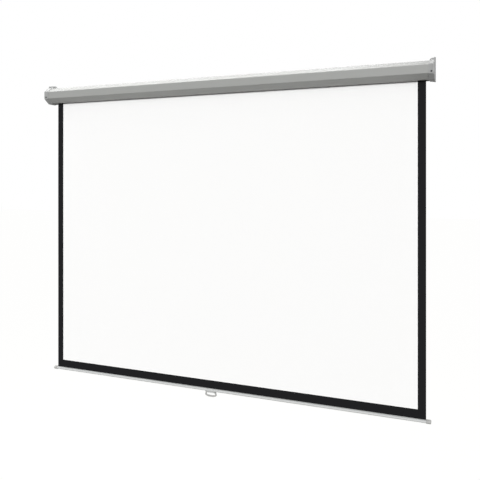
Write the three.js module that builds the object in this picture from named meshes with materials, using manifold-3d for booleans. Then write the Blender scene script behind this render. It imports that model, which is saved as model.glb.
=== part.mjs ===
// A wall or ceiling hung projection screen that is pulled down by hand.
// A folded steel case with moulded end caps holds a spring roller. The fabric winds on the roller,
// and a slotted bar with a hinged pull handle hangs from its hem. A ratchet and two pawls lock it.
// Millimetres. X runs along the screen, Z is up, and the wall is the plane Y = 0 behind the case.
// The origin is the middle of the case's rear face.

import * as THREE from 'three';
import { mergeVertices } from 'three/addons/utils/BufferGeometryUtils.js';
import Module from 'manifold-3d';

// Fabric
const fabricWidth = 1767;
const fabricDrop = 1313;
const fabricThickness = 0.4;
const hemBand = 33;
const fabricFromWall = 16.5;

// Case, one folded sheet
const caseDepth = 74;
const caseHeight = 73;
const chamferDepth = 29;
const chamferHeight = 20.2;
const sheetThickness = 1;
const foldRadius = 3;
const slotWidth = 18;
const lipHeight = 9;

// End caps
const capPlate = 3;
const capClearance = 0.3;
const skirtLength = 18;
const skirtWall = 2;
const flangeLip = 4.4;
const flangeChamfer = 1;
const rimDepth = 10;
const rimWall = 1.6;
const rimFromSlot = 4;
const rimFromRear = 3;
const ribWall = 1.6;
const ribHeight = 4;
const spindleRoomRadius = 9;
const earDepth = 46;
const earFrontRise = 11;
const earRearRise = 19.5;
const earCornerRadius = 2;
const gussetWall = 3;
const gussetRun = 16;
const gussetTopDrop = 1.5;
const hangingHoleLength = 14;
const hangingHoleHeight = 6;
const hangingHoleRise = 8;

// Roller brackets and the posts that carry them
const bracketThickness = 1.5;
const bracketWidth = 22;
const bracketHeight = 60;
const bracketScrewSpacing = 46;
const postLength = 5;
const postRadius = 4.5;

// Roller
const tubeRadius = 17.5;
const tubeWall = 1;
const tubeOverhang = 14.5;
const rollerEndFloat = 2.5;
const woundTurnCount = 2;
const woundPitch = 0.45;
const woundClearance = 0.15;
const hangingClearance = 0.25;

// Ferrule, the cup on the spring end of the roller
const cupDepth = 8;
const cupWall = 1.5;
const ferruleFloor = 3;
const spigotLength = 26;
const spigotWall = 2.4;

// Idler plug and pin on the other end
const idlerFlange = 2;
const idlerBossRadius = 6.5;
const idlerPinInset = 30;
const idlerPinEnd = 2.5;
const bushWall = 1.4;
const bushFlangeRadius = 7.5;
const bushFlange = 1.2;
const bushEnd = 1.4;

// Spindle, ratchet and spring
const spindleRadius = 4;
const spindleBeyondAnchor = 10;
const tongueThickness = 3.5;
const tongueEnd = 3.5;
const spindleShoulder = 1;
const circlipRadius = 6.4;
const circlipThickness = 0.8;
const circlipMouth = 5;
const ratchetRadius = 7.5;
const ratchetThickness = 4.5;
const ratchetHubRadius = 5.8;
const ratchetHub = 1.2;
const notchDepth = 1.6;
const notchStepOffset = 0.45;
const hubNoseRadius = 7;
const hubShoulderRadius = 11;
const hubShoulder = 4;
const hubNose = 30;
const hubFromFloor = 12;
const springLength = 285;
const springWire = 1.8;
const springRadius = 9.3;
const anchorLength = 24;
const anchorNose = 14;

// Pawls
const pawlPivotRadius = 12;
const pawlBossRadius = 2.8;
const pawlThickness = 4.2;
const pawlLever = 3;
const pawlPinRadius = 1.5;
const pawlPinHeadRadius = 2.5;
const pawlPinHead = 1;
const pawlPinInset = 2;

// Bottom bar
const barDepth = 18;
const barHeight = 13;
const barWall = 1;
const barSlot = 1.6;
const barOverhang = 16.5;
const barCapWall = 1.2;
const barCapClearance = 0.2;
const barCapEnd = 2;
const barCapChamfer = 1.2;
const barCapFromFabric = 0.7;
const hemRodRadius = 2.5;
const hemRodClearance = 0.12;
const hemRodInset = 3;

// Pull handle, its clip and its pin
const handleOffset = 38;
const clipLength = 36;
const clipWall = 1.3;
const clipClearance = 0.25;
const barrelRadius = 3;
const barrelSink = 0.6;
const handlePinRadius = 1.5;
const handlePinHeadRadius = 2.6;
const handlePinHead = 1;
const handleHalfWidth = 28;
const handleShoulderDrop = 9;
const handleDrop = 20.5;
const handleBand = 7;
const handleThickness = 6;
const handleBevel = 1.4;
const eyeRadius = 3.4;
const eyeLength = 6.4;
const eyeClearance = 0.4;

// Screws
const screwRadius = 1.7;
const screwHeadRadius = 3.4;
const screwHead = 2;
const screwHeadRim = 0.8;
const screwCoreRadius = 0.9;
const screwTip = 2;
const capScrewLength = 10;
const capScrewFromEnd = 10;
const capScrewHeight = -10.5;
const bracketScrewLength = 6;
const spotFaceRadius = 4.4;

// Fits
const seatGap = 0.1;
const runningGap = 0.3;
const pinGap = 0.1;
const joinOverlap = 0.2;
const cutOverrun = 1;
const mergeTolerance = 0.0001;

// Angles, counts and shares, which have no unit
const noseLeadDegrees = 60;
const pawlNoseDegrees = [90, 270];
const clipReachDegrees = 10;
const notchCount = 4;
const springTurnCount = 28;
const foldSteps = 3;
const flareShares = [0, 0.3, 0.55, 0.78, 1];
const handleArchShare = 0.8;
const ovalSteps = 32;
const tubeSides = 32;
const rodSides = 24;
const pinSides = 12;
const notchRimSteps = 5;
const springStepsPerTurn = 8;
const springSides = 5;
const handleArcSteps = 16;
const bevelSteps = 2;
const ribCount = 6;

// The chain of sizes from the fabric's edge out to the end of the case
const fabricHalf = fabricWidth / 2;
const tubeEnd = fabricHalf + tubeOverhang;
const cupEnd = tubeEnd + cupDepth;
const bracketFace = cupEnd + rollerEndFloat;
const postFace = bracketFace + bracketThickness;
const capInside = postFace + postLength;
const capOutside = capInside + capPlate;
const caseHalf = capInside - capClearance;

// Heights and depths that several pieces share
const caseTop = caseHeight / 2;
const caseBottom = -caseHeight / 2;
const fabricY = -fabricFromWall;
const woundRadius = tubeRadius + woundClearance + woundTurnCount * woundPitch + fabricThickness;
const rollerY = fabricY - woundRadius - hangingClearance - fabricThickness / 2;
const tubeBore = tubeRadius - tubeWall;
const spigotRadius = tubeBore - seatGap;
const barTop = caseBottom - fabricDrop;
const barCentre = barTop - barHeight / 2;
const pivotZ = barCentre - barHeight / 2 - clipClearance - clipWall - barrelRadius + barrelSink;
const radians = THREE.MathUtils.degToRad;

// Materials, from the photograph
function material(color, roughness, metalness) {
  return new THREE.MeshStandardMaterial({ color, roughness, metalness });
}
const paintedSteel = material(0xa8aba6, 0.5, 0.1);
const capPlastic = material(0xa4a4a4, 0.55, 0);
const zincSteel = material(0xa9abad, 0.35, 0.9);
const springSteel = material(0x55585c, 0.4, 0.9);
const tubeSteel = material(0xb4b6b8, 0.4, 0.9);
const nylon = material(0xe6e3da, 0.5, 0);
const dieCast = material(0x9da0a2, 0.45, 0.8);
const whiteFabric = material(0xf7f7f5, 0.95, 0);
const blackFabric = material(0x1b1b1d, 0.9, 0);
const barPaint = material(0xd2d4d2, 0.45, 0.1);
const handlePlastic = material(0xb6b7b4, 0.5, 0);

const wasm = await Module();
wasm.setup();
const screen = new THREE.Group();

function addPiece(name, geometry, look) {
  const mesh = new THREE.Mesh(geometry, look);
  mesh.name = name;
  screen.add(mesh);
}

// Solids for joining and cutting

function solidOf(geometry) {
  const bare = new THREE.BufferGeometry();
  const loose = geometry.index ? geometry.toNonIndexed() : geometry;
  bare.setAttribute('position', loose.getAttribute('position').clone());
  const merged = mergeVertices(bare, mergeTolerance);
  const vertProperties = Float32Array.from(merged.getAttribute('position').array);
  const triVerts = Uint32Array.from(merged.index.array);
  return new wasm.Manifold(new wasm.Mesh({ numProp: 3, vertProperties, triVerts }));
}

function geometryOf(solid) {
  const { vertProperties, triVerts } = solid.getMesh();
  const geometry = new THREE.BufferGeometry();
  geometry.setAttribute('position', new THREE.BufferAttribute(Float32Array.from(vertProperties), 3));
  geometry.setIndex(Array.from(triVerts));
  const loose = geometry.toNonIndexed();
  loose.computeVertexNormals();
  return loose;
}

function joinAndCut(joined, cut = []) {
  const [first, ...rest] = joined.map(solidOf);
  const whole = rest.reduce((sum, next) => sum.add(next), first);
  return geometryOf(cut.map(solidOf).reduce((left, next) => left.subtract(next), whole));
}

// A copy on the other side of the middle, with its triangles turned so that they still face out
function mirrored(geometry) {
  const loose = geometry.index ? geometry.toNonIndexed() : geometry.clone();
  const position = loose.getAttribute('position');
  const copy = position.clone();
  for (let i = 0; i < position.count; i += 3) {
    [i, i + 2, i + 1].forEach((from, k) => {
      copy.setXYZ(i + k, -position.getX(from), position.getY(from), position.getZ(from));
    });
  }
  loose.setAttribute('position', copy);
  loose.computeVertexNormals();
  return loose;
}

// Sections are drawn in the plane across the screen, as (y, z) points, and run along X

const acrossScreen = new THREE.Matrix4().makeBasis(
  new THREE.Vector3(0, 1, 0), new THREE.Vector3(0, 0, 1), new THREE.Vector3(1, 0, 0));

function point(y, z) {
  return new THREE.Vector2(y, z);
}

function alongX(shape, fromX, toX, curveSegments = pinSides) {
  const geometry = new THREE.ExtrudeGeometry(shape, {
    depth: toX - fromX, bevelEnabled: false, curveSegments });
  return geometry.applyMatrix4(acrossScreen).translate(fromX, 0, 0);
}

function ring(y, z, outerRadius, boreRadius, sides) {
  const shape = new THREE.Shape().setFromPoints(circle(y, z, outerRadius, sides));
  if (boreRadius > 0) shape.holes.push(new THREE.Path().setFromPoints(circle(y, z, boreRadius, sides)));
  return shape;
}

function circle(y, z, radius, sides) {
  return oval(y, z, radius, radius, 0, 2 * Math.PI, sides).slice(0, -1);
}

function oval(y, z, halfDepth, halfHeight, fromAngle, toAngle, steps) {
  return Array.from({ length: steps + 1 }, (_, i) => {
    const angle = fromAngle + (toAngle - fromAngle) * i / steps;
    return point(y + halfDepth * Math.cos(angle), z + halfHeight * Math.sin(angle));
  });
}

function rod(y, z, radius, fromX, toX, sides = rodSides) {
  return alongX(ring(y, z, radius, 0, sides), fromX, toX);
}

// A rod along Y, for the holes that the cap screws go through
function crossRod(x, z, radius, fromY, toY, sides = pinSides) {
  const geometry = new THREE.CylinderGeometry(radius, radius, toY - fromY, sides);
  return geometry.translate(x, (fromY + toY) / 2, z);
}

// A revolved piece along X: profile points are (radius, distance along X)
function turned(profile, y, z, sides = tubeSides) {
  const points = profile.map(([radius, x]) => new THREE.Vector2(radius, x));
  const geometry = new THREE.LatheGeometry([...points, points[0]], sides);
  geometry.rotateX(Math.PI / 2).applyMatrix4(acrossScreen);
  return geometry.translate(0, y, z);
}

// A path moved sideways, to its left, by a distance
function offsetPath(points, distance) {
  const normals = points.slice(1).map((p, i) => {
    const run = p.clone().sub(points[i]).normalize();
    return point(-run.y, run.x);
  });
  return points.map((p, i) => {
    const before = normals[Math.max(i - 1, 0)];
    const after = normals[Math.min(i, normals.length - 1)];
    const mitre = before.clone().add(after).divideScalar(1 + before.dot(after));
    return p.clone().addScaledVector(mitre, distance);
  });
}

// The same path with its inner corners folded round a radius
function foldedPath(points, radius) {
  return points.flatMap((p, i) => {
    if (i === 0 || i === points.length - 1) return [p.clone()];
    const into = p.clone().sub(points[i - 1]).normalize();
    const out = points[i + 1].clone().sub(p).normalize();
    const turn = Math.atan2(into.cross(out), into.dot(out));
    const start = p.clone().addScaledVector(into, -radius * Math.tan(Math.abs(turn) / 2));
    const side = Math.sign(turn);
    const centre = start.clone().add(point(-into.y, into.x).multiplyScalar(side * radius));
    return Array.from({ length: foldSteps + 1 }, (_, k) =>
      start.clone().rotateAround(centre, turn * k / foldSteps));
  });
}

// The outside of the case from its rear bottom edge, round the front, to its rear top edge
const caseOutline = [
  point(0, caseBottom),
  point(chamferDepth - caseDepth, caseBottom),
  point(-caseDepth, caseBottom + chamferHeight),
  point(-caseDepth, caseTop - chamferHeight),
  point(chamferDepth - caseDepth, caseTop),
  point(0, caseTop),
];

function grownOutline(distance, path = caseOutline) {
  return foldedPath(offsetPath(path, distance), foldRadius + distance);
}

// A band that follows the case between two distances from its outside
function bandPoints(innerDistance, outerDistance, path = caseOutline) {
  return [...grownOutline(outerDistance, path), ...grownOutline(innerDistance, path).reverse()];
}

// A skin over matching sections at several places along X, closed at both ends
function loft(sections) {
  const count = sections[0].points.length;
  const turnedBack = THREE.ShapeUtils.isClockWise(sections[0].points);
  const rings = sections.map(({ x, points }) => {
    const ordered = turnedBack ? [...points].reverse() : points;
    return ordered.map((p) => new THREE.Vector3(x, p.x, p.y));
  });
  const flat = rings[0].map((p) => point(p.y, p.z));
  const faces = THREE.ShapeUtils.triangulateShape(flat, []);
  const corners = [];
  faces.forEach(([a, b, c]) => corners.push(rings[0][c], rings[0][b], rings[0][a]));
  rings.slice(1).forEach((next, k) => {
    for (let i = 0; i < count; i += 1) {
      const j = (i + 1) % count;
      corners.push(rings[k][i], rings[k][j], next[j], rings[k][i], next[j], next[i]);
    }
  });
  const last = rings[rings.length - 1];
  faces.forEach(([a, b, c]) => corners.push(last[a], last[b], last[c]));
  return new THREE.BufferGeometry().setFromPoints(corners);
}

// Case: one sheet folded from the front lip of the slot, round the outside, to the rear lip
function makeCaseShell() {
  const slotFront = fabricY - slotWidth / 2;
  const slotRear = fabricY + slotWidth / 2;
  const [rearBottom, ...rest] = caseOutline;
  const sheetPath = [
    point(slotFront, caseBottom + lipHeight), point(slotFront, caseBottom),
    ...rest,
    rearBottom, point(slotRear, caseBottom), point(slotRear, caseBottom + lipHeight),
  ];
  const outside = foldedPath(sheetPath, foldRadius);
  const inside = foldedPath(offsetPath(sheetPath, -sheetThickness), foldRadius - sheetThickness);
  const section = new THREE.Shape().setFromPoints([...outside, ...inside.reverse()]);
  const holeX = capOutside - capScrewFromEnd;
  const holes = [-holeX, holeX].map((x) => crossRod(
    x, capScrewHeight, screwRadius + pinGap, -caseDepth - cutOverrun,
    -caseDepth + sheetThickness + cutOverrun));
  return joinAndCut([alongX(section, -caseHalf, caseHalf)], holes);
}

// End cap, for the end at positive X

function flaredSkirt() {
  const start = capInside - skirtLength;
  return loft(flareShares.map((share) => {
    const flare = (flangeLip - skirtWall) * share * share;
    return {
      x: start + (skirtLength + joinOverlap) * share,
      points: bandPoints(capClearance, capClearance + skirtWall + flare),
    };
  }));
}

function capFlange() {
  const full = grownOutline(capClearance + flangeLip);
  const eased = grownOutline(capClearance + flangeLip - flangeChamfer);
  return loft([
    { x: capInside, points: full },
    { x: capOutside - flangeChamfer, points: full },
    { x: capOutside, points: eased },
  ]);
}

function innerRim() {
  const [, ...rest] = caseOutline;
  const start = point(fabricY - slotWidth / 2 - rimFromSlot, caseBottom);
  rest[rest.length - 1] = point(-rimFromRear, caseTop);
  const inset = -sheetThickness - capClearance;
  const band = bandPoints(inset - rimWall, inset, [start, ...rest]);
  return alongX(new THREE.Shape().setFromPoints(band), capInside - rimDepth, capInside + joinOverlap);
}

// Spokes that stiffen the cap's face between its rim and the middle
function capRibs() {
  const reach = caseHeight / 2 - sheetThickness - capClearance - rimWall / 2;
  return Array.from({ length: ribCount }, (_, i) => {
    const angle = Math.PI / 2 + i * 2 * Math.PI / ribCount;
    const rib = new THREE.Shape().setFromPoints([
      point(0, -ribWall / 2), point(reach, -ribWall / 2),
      point(reach, ribWall / 2), point(0, ribWall / 2)]
      .map((p) => p.rotateAround(point(0, 0), angle).add(point(rollerY, 0))));
    return alongX(rib, capInside - ribHeight, capInside + joinOverlap);
  });
}

function postPlaces() {
  return [bracketScrewSpacing / 2, -bracketScrewSpacing / 2];
}

function bracketPosts() {
  return postPlaces().map((z) => rod(rollerY, z, postRadius, postFace + seatGap, capInside + joinOverlap));
}

// The ear above the case: a plate with an oval hole, whose top rises towards the wall
function hangingEar() {
  const foot = caseTop - rimWall;
  const plate = new THREE.Shape().setFromPoints([point(0, foot), ...foldedPath([
    point(0, caseTop + earRearRise), point(-earDepth, caseTop + earFrontRise), point(-earDepth, foot),
  ], earCornerRadius)]);
  const holeZ = caseTop + hangingHoleRise;
  const holeRadius = hangingHoleHeight / 2;
  const holeHalf = hangingHoleLength / 2 - holeRadius;
  const hole = new THREE.Path();
  hole.absarc(-earDepth / 2 + holeHalf, holeZ, holeRadius, -Math.PI / 2, Math.PI / 2, false);
  hole.absarc(-earDepth / 2 - holeHalf, holeZ, holeRadius, Math.PI / 2, 3 * Math.PI / 2, false);
  plate.holes.push(hole);
  return alongX(plate, capInside, capOutside, foldSteps * 2);
}

// A web with a round shoulder that braces the ear against the skirt
function gusset(fromY, earHeight) {
  const foot = caseTop + capClearance + skirtWall / 2;
  const rise = caseTop + earHeight - gussetTopDrop - foot;
  const side = new THREE.Shape().setFromPoints([
    new THREE.Vector2(capInside + joinOverlap, foot),
    new THREE.Vector2(capInside + joinOverlap, foot + rise),
    ...oval(capInside, foot, gussetRun, rise, Math.PI / 2, Math.PI, foldSteps * 2)]);
  const geometry = new THREE.ExtrudeGeometry(side, { depth: gussetWall, bevelEnabled: false });
  return geometry.rotateX(Math.PI / 2).translate(0, fromY + gussetWall, 0);
}

function makeEndCap() {
  const screwX = capOutside - capScrewFromEnd;
  const screwSeat = -caseDepth - capClearance - skirtWall;
  const outermost = -caseDepth - capClearance - flangeLip - cutOverrun;
  const innermost = -caseDepth + sheetThickness + capClearance + rimWall + cutOverrun;
  const pilots = postPlaces().map((z) => rod(
    rollerY, z, screwRadius + pinGap, postFace - cutOverrun, capInside, pinSides));
  return joinAndCut(
    [flaredSkirt(), capFlange(), innerRim(), hangingEar(),
      gusset(-earDepth, earFrontRise), gusset(-gussetWall, earRearRise), ...capRibs(), ...bracketPosts()],
    [rod(rollerY, 0, spindleRoomRadius, postFace - cutOverrun, capInside),
      crossRod(screwX, capScrewHeight, screwRadius + pinGap, outermost, innermost),
      crossRod(screwX, capScrewHeight, spotFaceRadius, outermost, screwSeat),
      ...pilots]);
}

// Screws: a pan head and a tapered tip, drawn along X from the head's seat at zero
function makeScrew(length) {
  return turned([
    [0, -screwHead], [screwHeadRadius / 2, -screwHead], [screwHeadRadius, -screwHeadRim],
    [screwHeadRadius, 0], [screwRadius, 0], [screwRadius, length - screwTip],
    [screwCoreRadius, length], [0, length]], 0, 0, pinSides);
}

// Roller brackets: steel plates with a screw hole at each end and the seat in the middle
function makeBracket(seatPath) {
  const halfWidth = bracketWidth / 2;
  const straight = bracketHeight / 2 - halfWidth;
  const plate = new THREE.Shape().setFromPoints([
    ...oval(rollerY, straight, halfWidth, halfWidth, 0, Math.PI, pinSides),
    ...oval(rollerY, -straight, halfWidth, halfWidth, Math.PI, 2 * Math.PI, pinSides)]);
  plate.holes.push(seatPath);
  postPlaces().forEach((z) => plate.holes.push(
    new THREE.Path().setFromPoints(circle(rollerY, z, screwRadius + pinGap, pinSides))));
  return alongX(plate, bracketFace, postFace);
}

function tonguePoints(gap) {
  const halfThick = tongueThickness / 2 + gap;
  const halfTall = spindleRadius + gap;
  return [point(rollerY - halfThick, -halfTall), point(rollerY + halfThick, -halfTall),
    point(rollerY + halfThick, halfTall), point(rollerY - halfThick, halfTall)];
}

// The pieces at the spring end stand in a row on the spindle, from the ferrule's floor outwards
const ratchetInner = -tubeEnd - seatGap;
const ratchetOuter = ratchetInner - ratchetThickness - ratchetHub;
const circlipInner = ratchetOuter - seatGap;
const shoulderX = circlipInner - circlipThickness - spindleShoulder;

// Spindle: a round rod that stands still, with a flat tongue held by the bracket's slot
function makeSpindle() {
  const innerEnd = anchorFace + anchorLength + spindleBeyondAnchor;
  return joinAndCut([
    rod(rollerY, 0, spindleRadius, shoulderX, innerEnd),
    alongX(new THREE.Shape().setFromPoints(tonguePoints(-seatGap)),
      -(postFace + tongueEnd), shoulderX + joinOverlap),
  ]);
}

// The open spring ring that keeps the ratchet on the spindle
function makeCirclip() {
  const bore = spindleRadius + pinGap;
  const mouth = Math.asin(circlipMouth / 2 / circlipRadius);
  const outer = oval(rollerY, 0, circlipRadius, circlipRadius, mouth, 2 * Math.PI - mouth, rodSides);
  const inner = oval(rollerY, 0, bore, bore, mouth, 2 * Math.PI - mouth, rodSides);
  return alongX(new THREE.Shape().setFromPoints([...outer, ...inner.reverse()]),
    circlipInner - circlipThickness, circlipInner);
}

// Ratchet: a wheel with flats that run into radial steps, which the pawls drop against
function ratchetOutline() {
  const flat = ratchetRadius - notchDepth;
  const enter = -Math.acos(flat / ratchetRadius);
  const leave = Math.asin(notchStepOffset / ratchetRadius);
  const pitch = 2 * Math.PI / notchCount;
  return Array.from({ length: notchCount }, (_, k) => {
    const rim = oval(0, 0, ratchetRadius, ratchetRadius, leave, pitch + enter, notchRimSteps);
    return [point(flat, notchStepOffset), ...rim].map((p) =>
      p.rotateAround(point(0, 0), k * pitch).add(point(rollerY, 0)));
  }).flat();
}

function makeRatchet() {
  const wheel = new THREE.Shape().setFromPoints(ratchetOutline());
  const bore = rod(rollerY, 0, spindleRadius + pinGap,
    ratchetOuter - cutOverrun, ratchetInner + cutOverrun);
  return joinAndCut([
    alongX(wheel, ratchetInner - ratchetThickness, ratchetInner),
    rod(rollerY, 0, ratchetHubRadius, ratchetOuter, ratchetOuter + ratchetHub + joinOverlap),
  ], [bore]);
}

// Ferrule: the cup that holds the pawls, its floor, and the spigot inside the tube
function pawlPivots() {
  return pawlNoseDegrees.map((nose) =>
    point(pawlPivotRadius, 0).rotateAround(point(0, 0), radians(nose - noseLeadDegrees))
      .add(point(rollerY, 0)));
}

function makeFerrule() {
  const bore = spindleRadius + runningGap;
  const cupInside = tubeRadius - cupWall;
  const body = turned([
    [bore, -tubeEnd], [cupInside, -tubeEnd], [cupInside, -cupEnd], [tubeRadius, -cupEnd],
    [tubeRadius, -tubeEnd - seatGap], [spigotRadius, -tubeEnd - seatGap],
    [spigotRadius, -tubeEnd + spigotLength], [spigotRadius - spigotWall, -tubeEnd + spigotLength],
    [spigotRadius - spigotWall, -tubeEnd + ferruleFloor], [bore, -tubeEnd + ferruleFloor]],
  rollerY, 0);
  const pinHoles = pawlPivots().map((p) => rod(
    p.x, p.y, pawlPinRadius + pinGap, -tubeEnd - cutOverrun, -tubeEnd + pawlPinInset, pinSides));
  return joinAndCut([body], pinHoles);
}

// Pawl: a round boss with a lever, drawn round its pivot, whose nose lies just off the ratchet's rim
function makePawl(noseDegrees, pivot) {
  const nose = point(ratchetRadius + runningGap, 0).rotateAround(point(0, 0), radians(noseDegrees))
    .add(point(rollerY, 0));
  const run = nose.clone().sub(pivot).normalize();
  const outward = point(run.y, -run.x);
  const noseBack = nose.clone().addScaledVector(outward, pawlLever);
  const bossBack = pivot.clone().addScaledVector(outward, pawlBossRadius);
  const lever = new THREE.Shape().setFromPoints([pivot, bossBack, noseBack, nose]);
  const inner = -tubeEnd - runningGap;
  const outer = inner - pawlThickness;
  return joinAndCut([
    alongX(ring(pivot.x, pivot.y, pawlBossRadius, 0, rodSides), outer, inner),
    alongX(lever, outer, inner),
  ], [rod(pivot.x, pivot.y, pawlPinRadius + pinGap, outer - cutOverrun, inner + cutOverrun, pinSides)]);
}

function makePawlPin(pivot) {
  const seat = -tubeEnd - runningGap - pawlThickness - seatGap;
  return turned([
    [0, seat - pawlPinHead], [pawlPinHeadRadius, seat - pawlPinHead], [pawlPinHeadRadius, seat],
    [pawlPinRadius, seat], [pawlPinRadius, -tubeEnd + pawlPinInset - seatGap],
    [0, -tubeEnd + pawlPinInset - seatGap]], pivot.x, pivot.y, pinSides);
}

// Spring and the two pieces that it is wound between

const hubStart = -tubeEnd + ferruleFloor + hubFromFloor;
const springStart = hubStart + hubShoulder + seatGap;
const anchorFace = springStart + springLength + seatGap;

function makeSpringHub() {
  const bore = spindleRadius + pinGap;
  return turned([
    [bore, hubStart], [hubShoulderRadius, hubStart], [hubShoulderRadius, hubStart + hubShoulder],
    [hubNoseRadius, hubStart + hubShoulder], [hubNoseRadius, hubStart + hubShoulder + hubNose],
    [bore, hubStart + hubShoulder + hubNose]], rollerY, 0, rodSides);
}

function makeSpringAnchor() {
  const bore = spindleRadius + runningGap;
  return turned([
    [bore, anchorFace - anchorNose], [hubNoseRadius, anchorFace - anchorNose],
    [hubNoseRadius, anchorFace], [spigotRadius, anchorFace],
    [spigotRadius, anchorFace + anchorLength], [bore, anchorFace + anchorLength]], rollerY, 0);
}

class Helix extends THREE.Curve {
  getPoint(share, target = new THREE.Vector3()) {
    const angle = share * springTurnCount * 2 * Math.PI;
    const length = springLength - springWire;
    return target.set(springStart + springWire / 2 + length * share,
      rollerY + springRadius * Math.cos(angle), springRadius * Math.sin(angle));
  }
}

function makeSpring() {
  const wire = new THREE.Shape().setFromPoints(circle(0, 0, springWire / 2, springSides));
  return new THREE.ExtrudeGeometry(wire, {
    steps: springTurnCount * springStepsPerTurn, bevelEnabled: false, extrudePath: new Helix() });
}

// Idler end: a plug with a ribbed boss, the pin it carries and the bush that the pin turns in

function makeIdlerPlug() {
  const bore = spindleRadius + pinGap;
  const outer = tubeEnd + idlerFlange;
  const inner = tubeEnd - spigotLength;
  const body = turned([
    [bore, inner], [idlerBossRadius, inner], [idlerBossRadius, tubeEnd],
    [spigotRadius - spigotWall, tubeEnd], [spigotRadius - spigotWall, inner], [spigotRadius, inner],
    [spigotRadius, tubeEnd + seatGap], [tubeRadius, tubeEnd + seatGap], [tubeRadius, outer],
    [bore, outer]], rollerY, 0);
  const ribs = Array.from({ length: ribCount }, (_, i) => {
    const reach = [idlerBossRadius - joinOverlap, spigotRadius - spigotWall + joinOverlap];
    const corners = [point(reach[0], -ribWall / 2), point(reach[1], -ribWall / 2),
      point(reach[1], ribWall / 2), point(reach[0], ribWall / 2)];
    const turnedCorners = corners.map((p) =>
      p.rotateAround(point(0, 0), i * 2 * Math.PI / ribCount).add(point(rollerY, 0)));
    return alongX(new THREE.Shape().setFromPoints(turnedCorners), inner + cutOverrun, tubeEnd + joinOverlap);
  });
  return joinAndCut([body, ...ribs]);
}

function makeBush() {
  const bore = spindleRadius + pinGap + seatGap;
  const sleeve = bore + bushWall;
  return turned([
    [bore, bracketFace - seatGap - bushFlange], [bushFlangeRadius, bracketFace - seatGap - bushFlange],
    [bushFlangeRadius, bracketFace - seatGap], [sleeve, bracketFace - seatGap],
    [sleeve, postFace + bushEnd], [bore, postFace + bushEnd]], rollerY, 0, rodSides);
}

// Roller tube, and the turns of fabric that stay on it when the screen is down

function makeRollerTube() {
  return alongX(ring(rollerY, 0, tubeRadius, tubeBore, tubeSides), -tubeEnd, tubeEnd);
}

function makeWoundFabric() {
  const steps = woundTurnCount * tubeSides;
  const spiral = (startRadius) => Array.from({ length: steps + 1 }, (_, i) => {
    const angle = 2 * Math.PI * (i / tubeSides);
    const radius = startRadius + woundPitch * i / tubeSides;
    return point(rollerY + radius * Math.cos(angle), -radius * Math.sin(angle));
  });
  const start = tubeRadius + woundClearance;
  const section = [...spiral(start + fabricThickness), ...spiral(start).reverse()];
  return alongX(new THREE.Shape().setFromPoints(section), -fabricHalf, fabricHalf);
}

// The hanging sheet runs from beside the roller to the top of the black band above the bar
function makeScreenFabric() {
  const half = fabricThickness / 2;
  const bottom = barTop + hemBand + runningGap;
  return alongX(new THREE.Shape().setFromPoints([
    point(fabricY - half, bottom), point(fabricY + half, bottom),
    point(fabricY + half, 0), point(fabricY - half, 0)]), -fabricHalf, fabricHalf);
}

// The band ends in a sewn pocket round the hem rod, inside the bar
const pocketBore = hemRodRadius + hemRodClearance;
const pocketRadius = pocketBore + fabricThickness;
const hemRodZ = barTop - barWall - pocketRadius - seatGap;
function makeFabricHem() {
  const half = fabricThickness / 2;
  const split = Math.asin(half / pocketRadius);
  const outside = oval(fabricY, hemRodZ, pocketRadius, pocketRadius,
    Math.PI / 2 + split, 5 * Math.PI / 2 - split, rodSides);
  const section = new THREE.Shape().setFromPoints([
    ...outside, point(fabricY + half, barTop + hemBand), point(fabricY - half, barTop + hemBand)]);
  section.holes.push(new THREE.Path().setFromPoints(
    circle(fabricY, hemRodZ, pocketBore, rodSides)));
  return alongX(section, -fabricHalf, fabricHalf);
}

// Bottom bar: an oval tube with a slot along its top for the fabric
const barEnd = fabricHalf + barOverhang;
function makeBottomBar() {
  const halfDepth = barDepth / 2;
  const halfHeight = barHeight / 2;
  const open = Math.asin(barSlot / 2 / halfDepth);
  const openInside = Math.asin(barSlot / 2 / (halfDepth - barWall));
  const outer = oval(fabricY, barCentre, halfDepth, halfHeight,
    Math.PI / 2 + open, 5 * Math.PI / 2 - open, ovalSteps);
  const inner = oval(fabricY, barCentre, halfDepth - barWall, halfHeight - barWall,
    Math.PI / 2 + openInside, 5 * Math.PI / 2 - openInside, ovalSteps);
  return alongX(new THREE.Shape().setFromPoints([...outer, ...inner.reverse()]), -barEnd, barEnd);
}

// Bar cap: a cup with eased edges pushed over the end of the bar
function makeBarCap() {
  const start = fabricHalf + barCapFromFabric;
  const room = barEnd + seatGap;
  const end = room + barCapEnd;
  const grown = (distance) => oval(fabricY, barCentre, barDepth / 2 + distance,
    barHeight / 2 + distance, 0, 2 * Math.PI, ovalSteps).slice(0, -1);
  const outside = barCapClearance + barCapWall;
  const shell = loft([
    { x: start, points: grown(outside) },
    { x: end - barCapChamfer, points: grown(outside) },
    { x: end, points: grown(outside - barCapChamfer) },
  ]);
  const hollow = alongX(new THREE.Shape().setFromPoints(grown(barCapClearance)),
    start - cutOverrun, room);
  return joinAndCut([shell], [hollow]);
}

// Handle clip: a band that snaps round the bar's lower half, with a barrel for the pin
function makeHandleClip() {
  const from = radians(clipReachDegrees);
  const band = (distance) => oval(fabricY, barCentre, barDepth / 2 + distance,
    barHeight / 2 + distance, from, -Math.PI - from, ovalSteps);
  const section = [...band(clipClearance + clipWall), ...band(clipClearance).reverse()];
  const left = -handleOffset - clipLength / 2;
  const right = -handleOffset + clipLength / 2;
  return joinAndCut([
    alongX(new THREE.Shape().setFromPoints(section), left, right),
    rod(fabricY, pivotZ, barrelRadius, left, right),
  ], [rod(fabricY, pivotZ, handlePinRadius + pinGap, left - cutOverrun, right + cutOverrun, pinSides)]);
}

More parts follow.
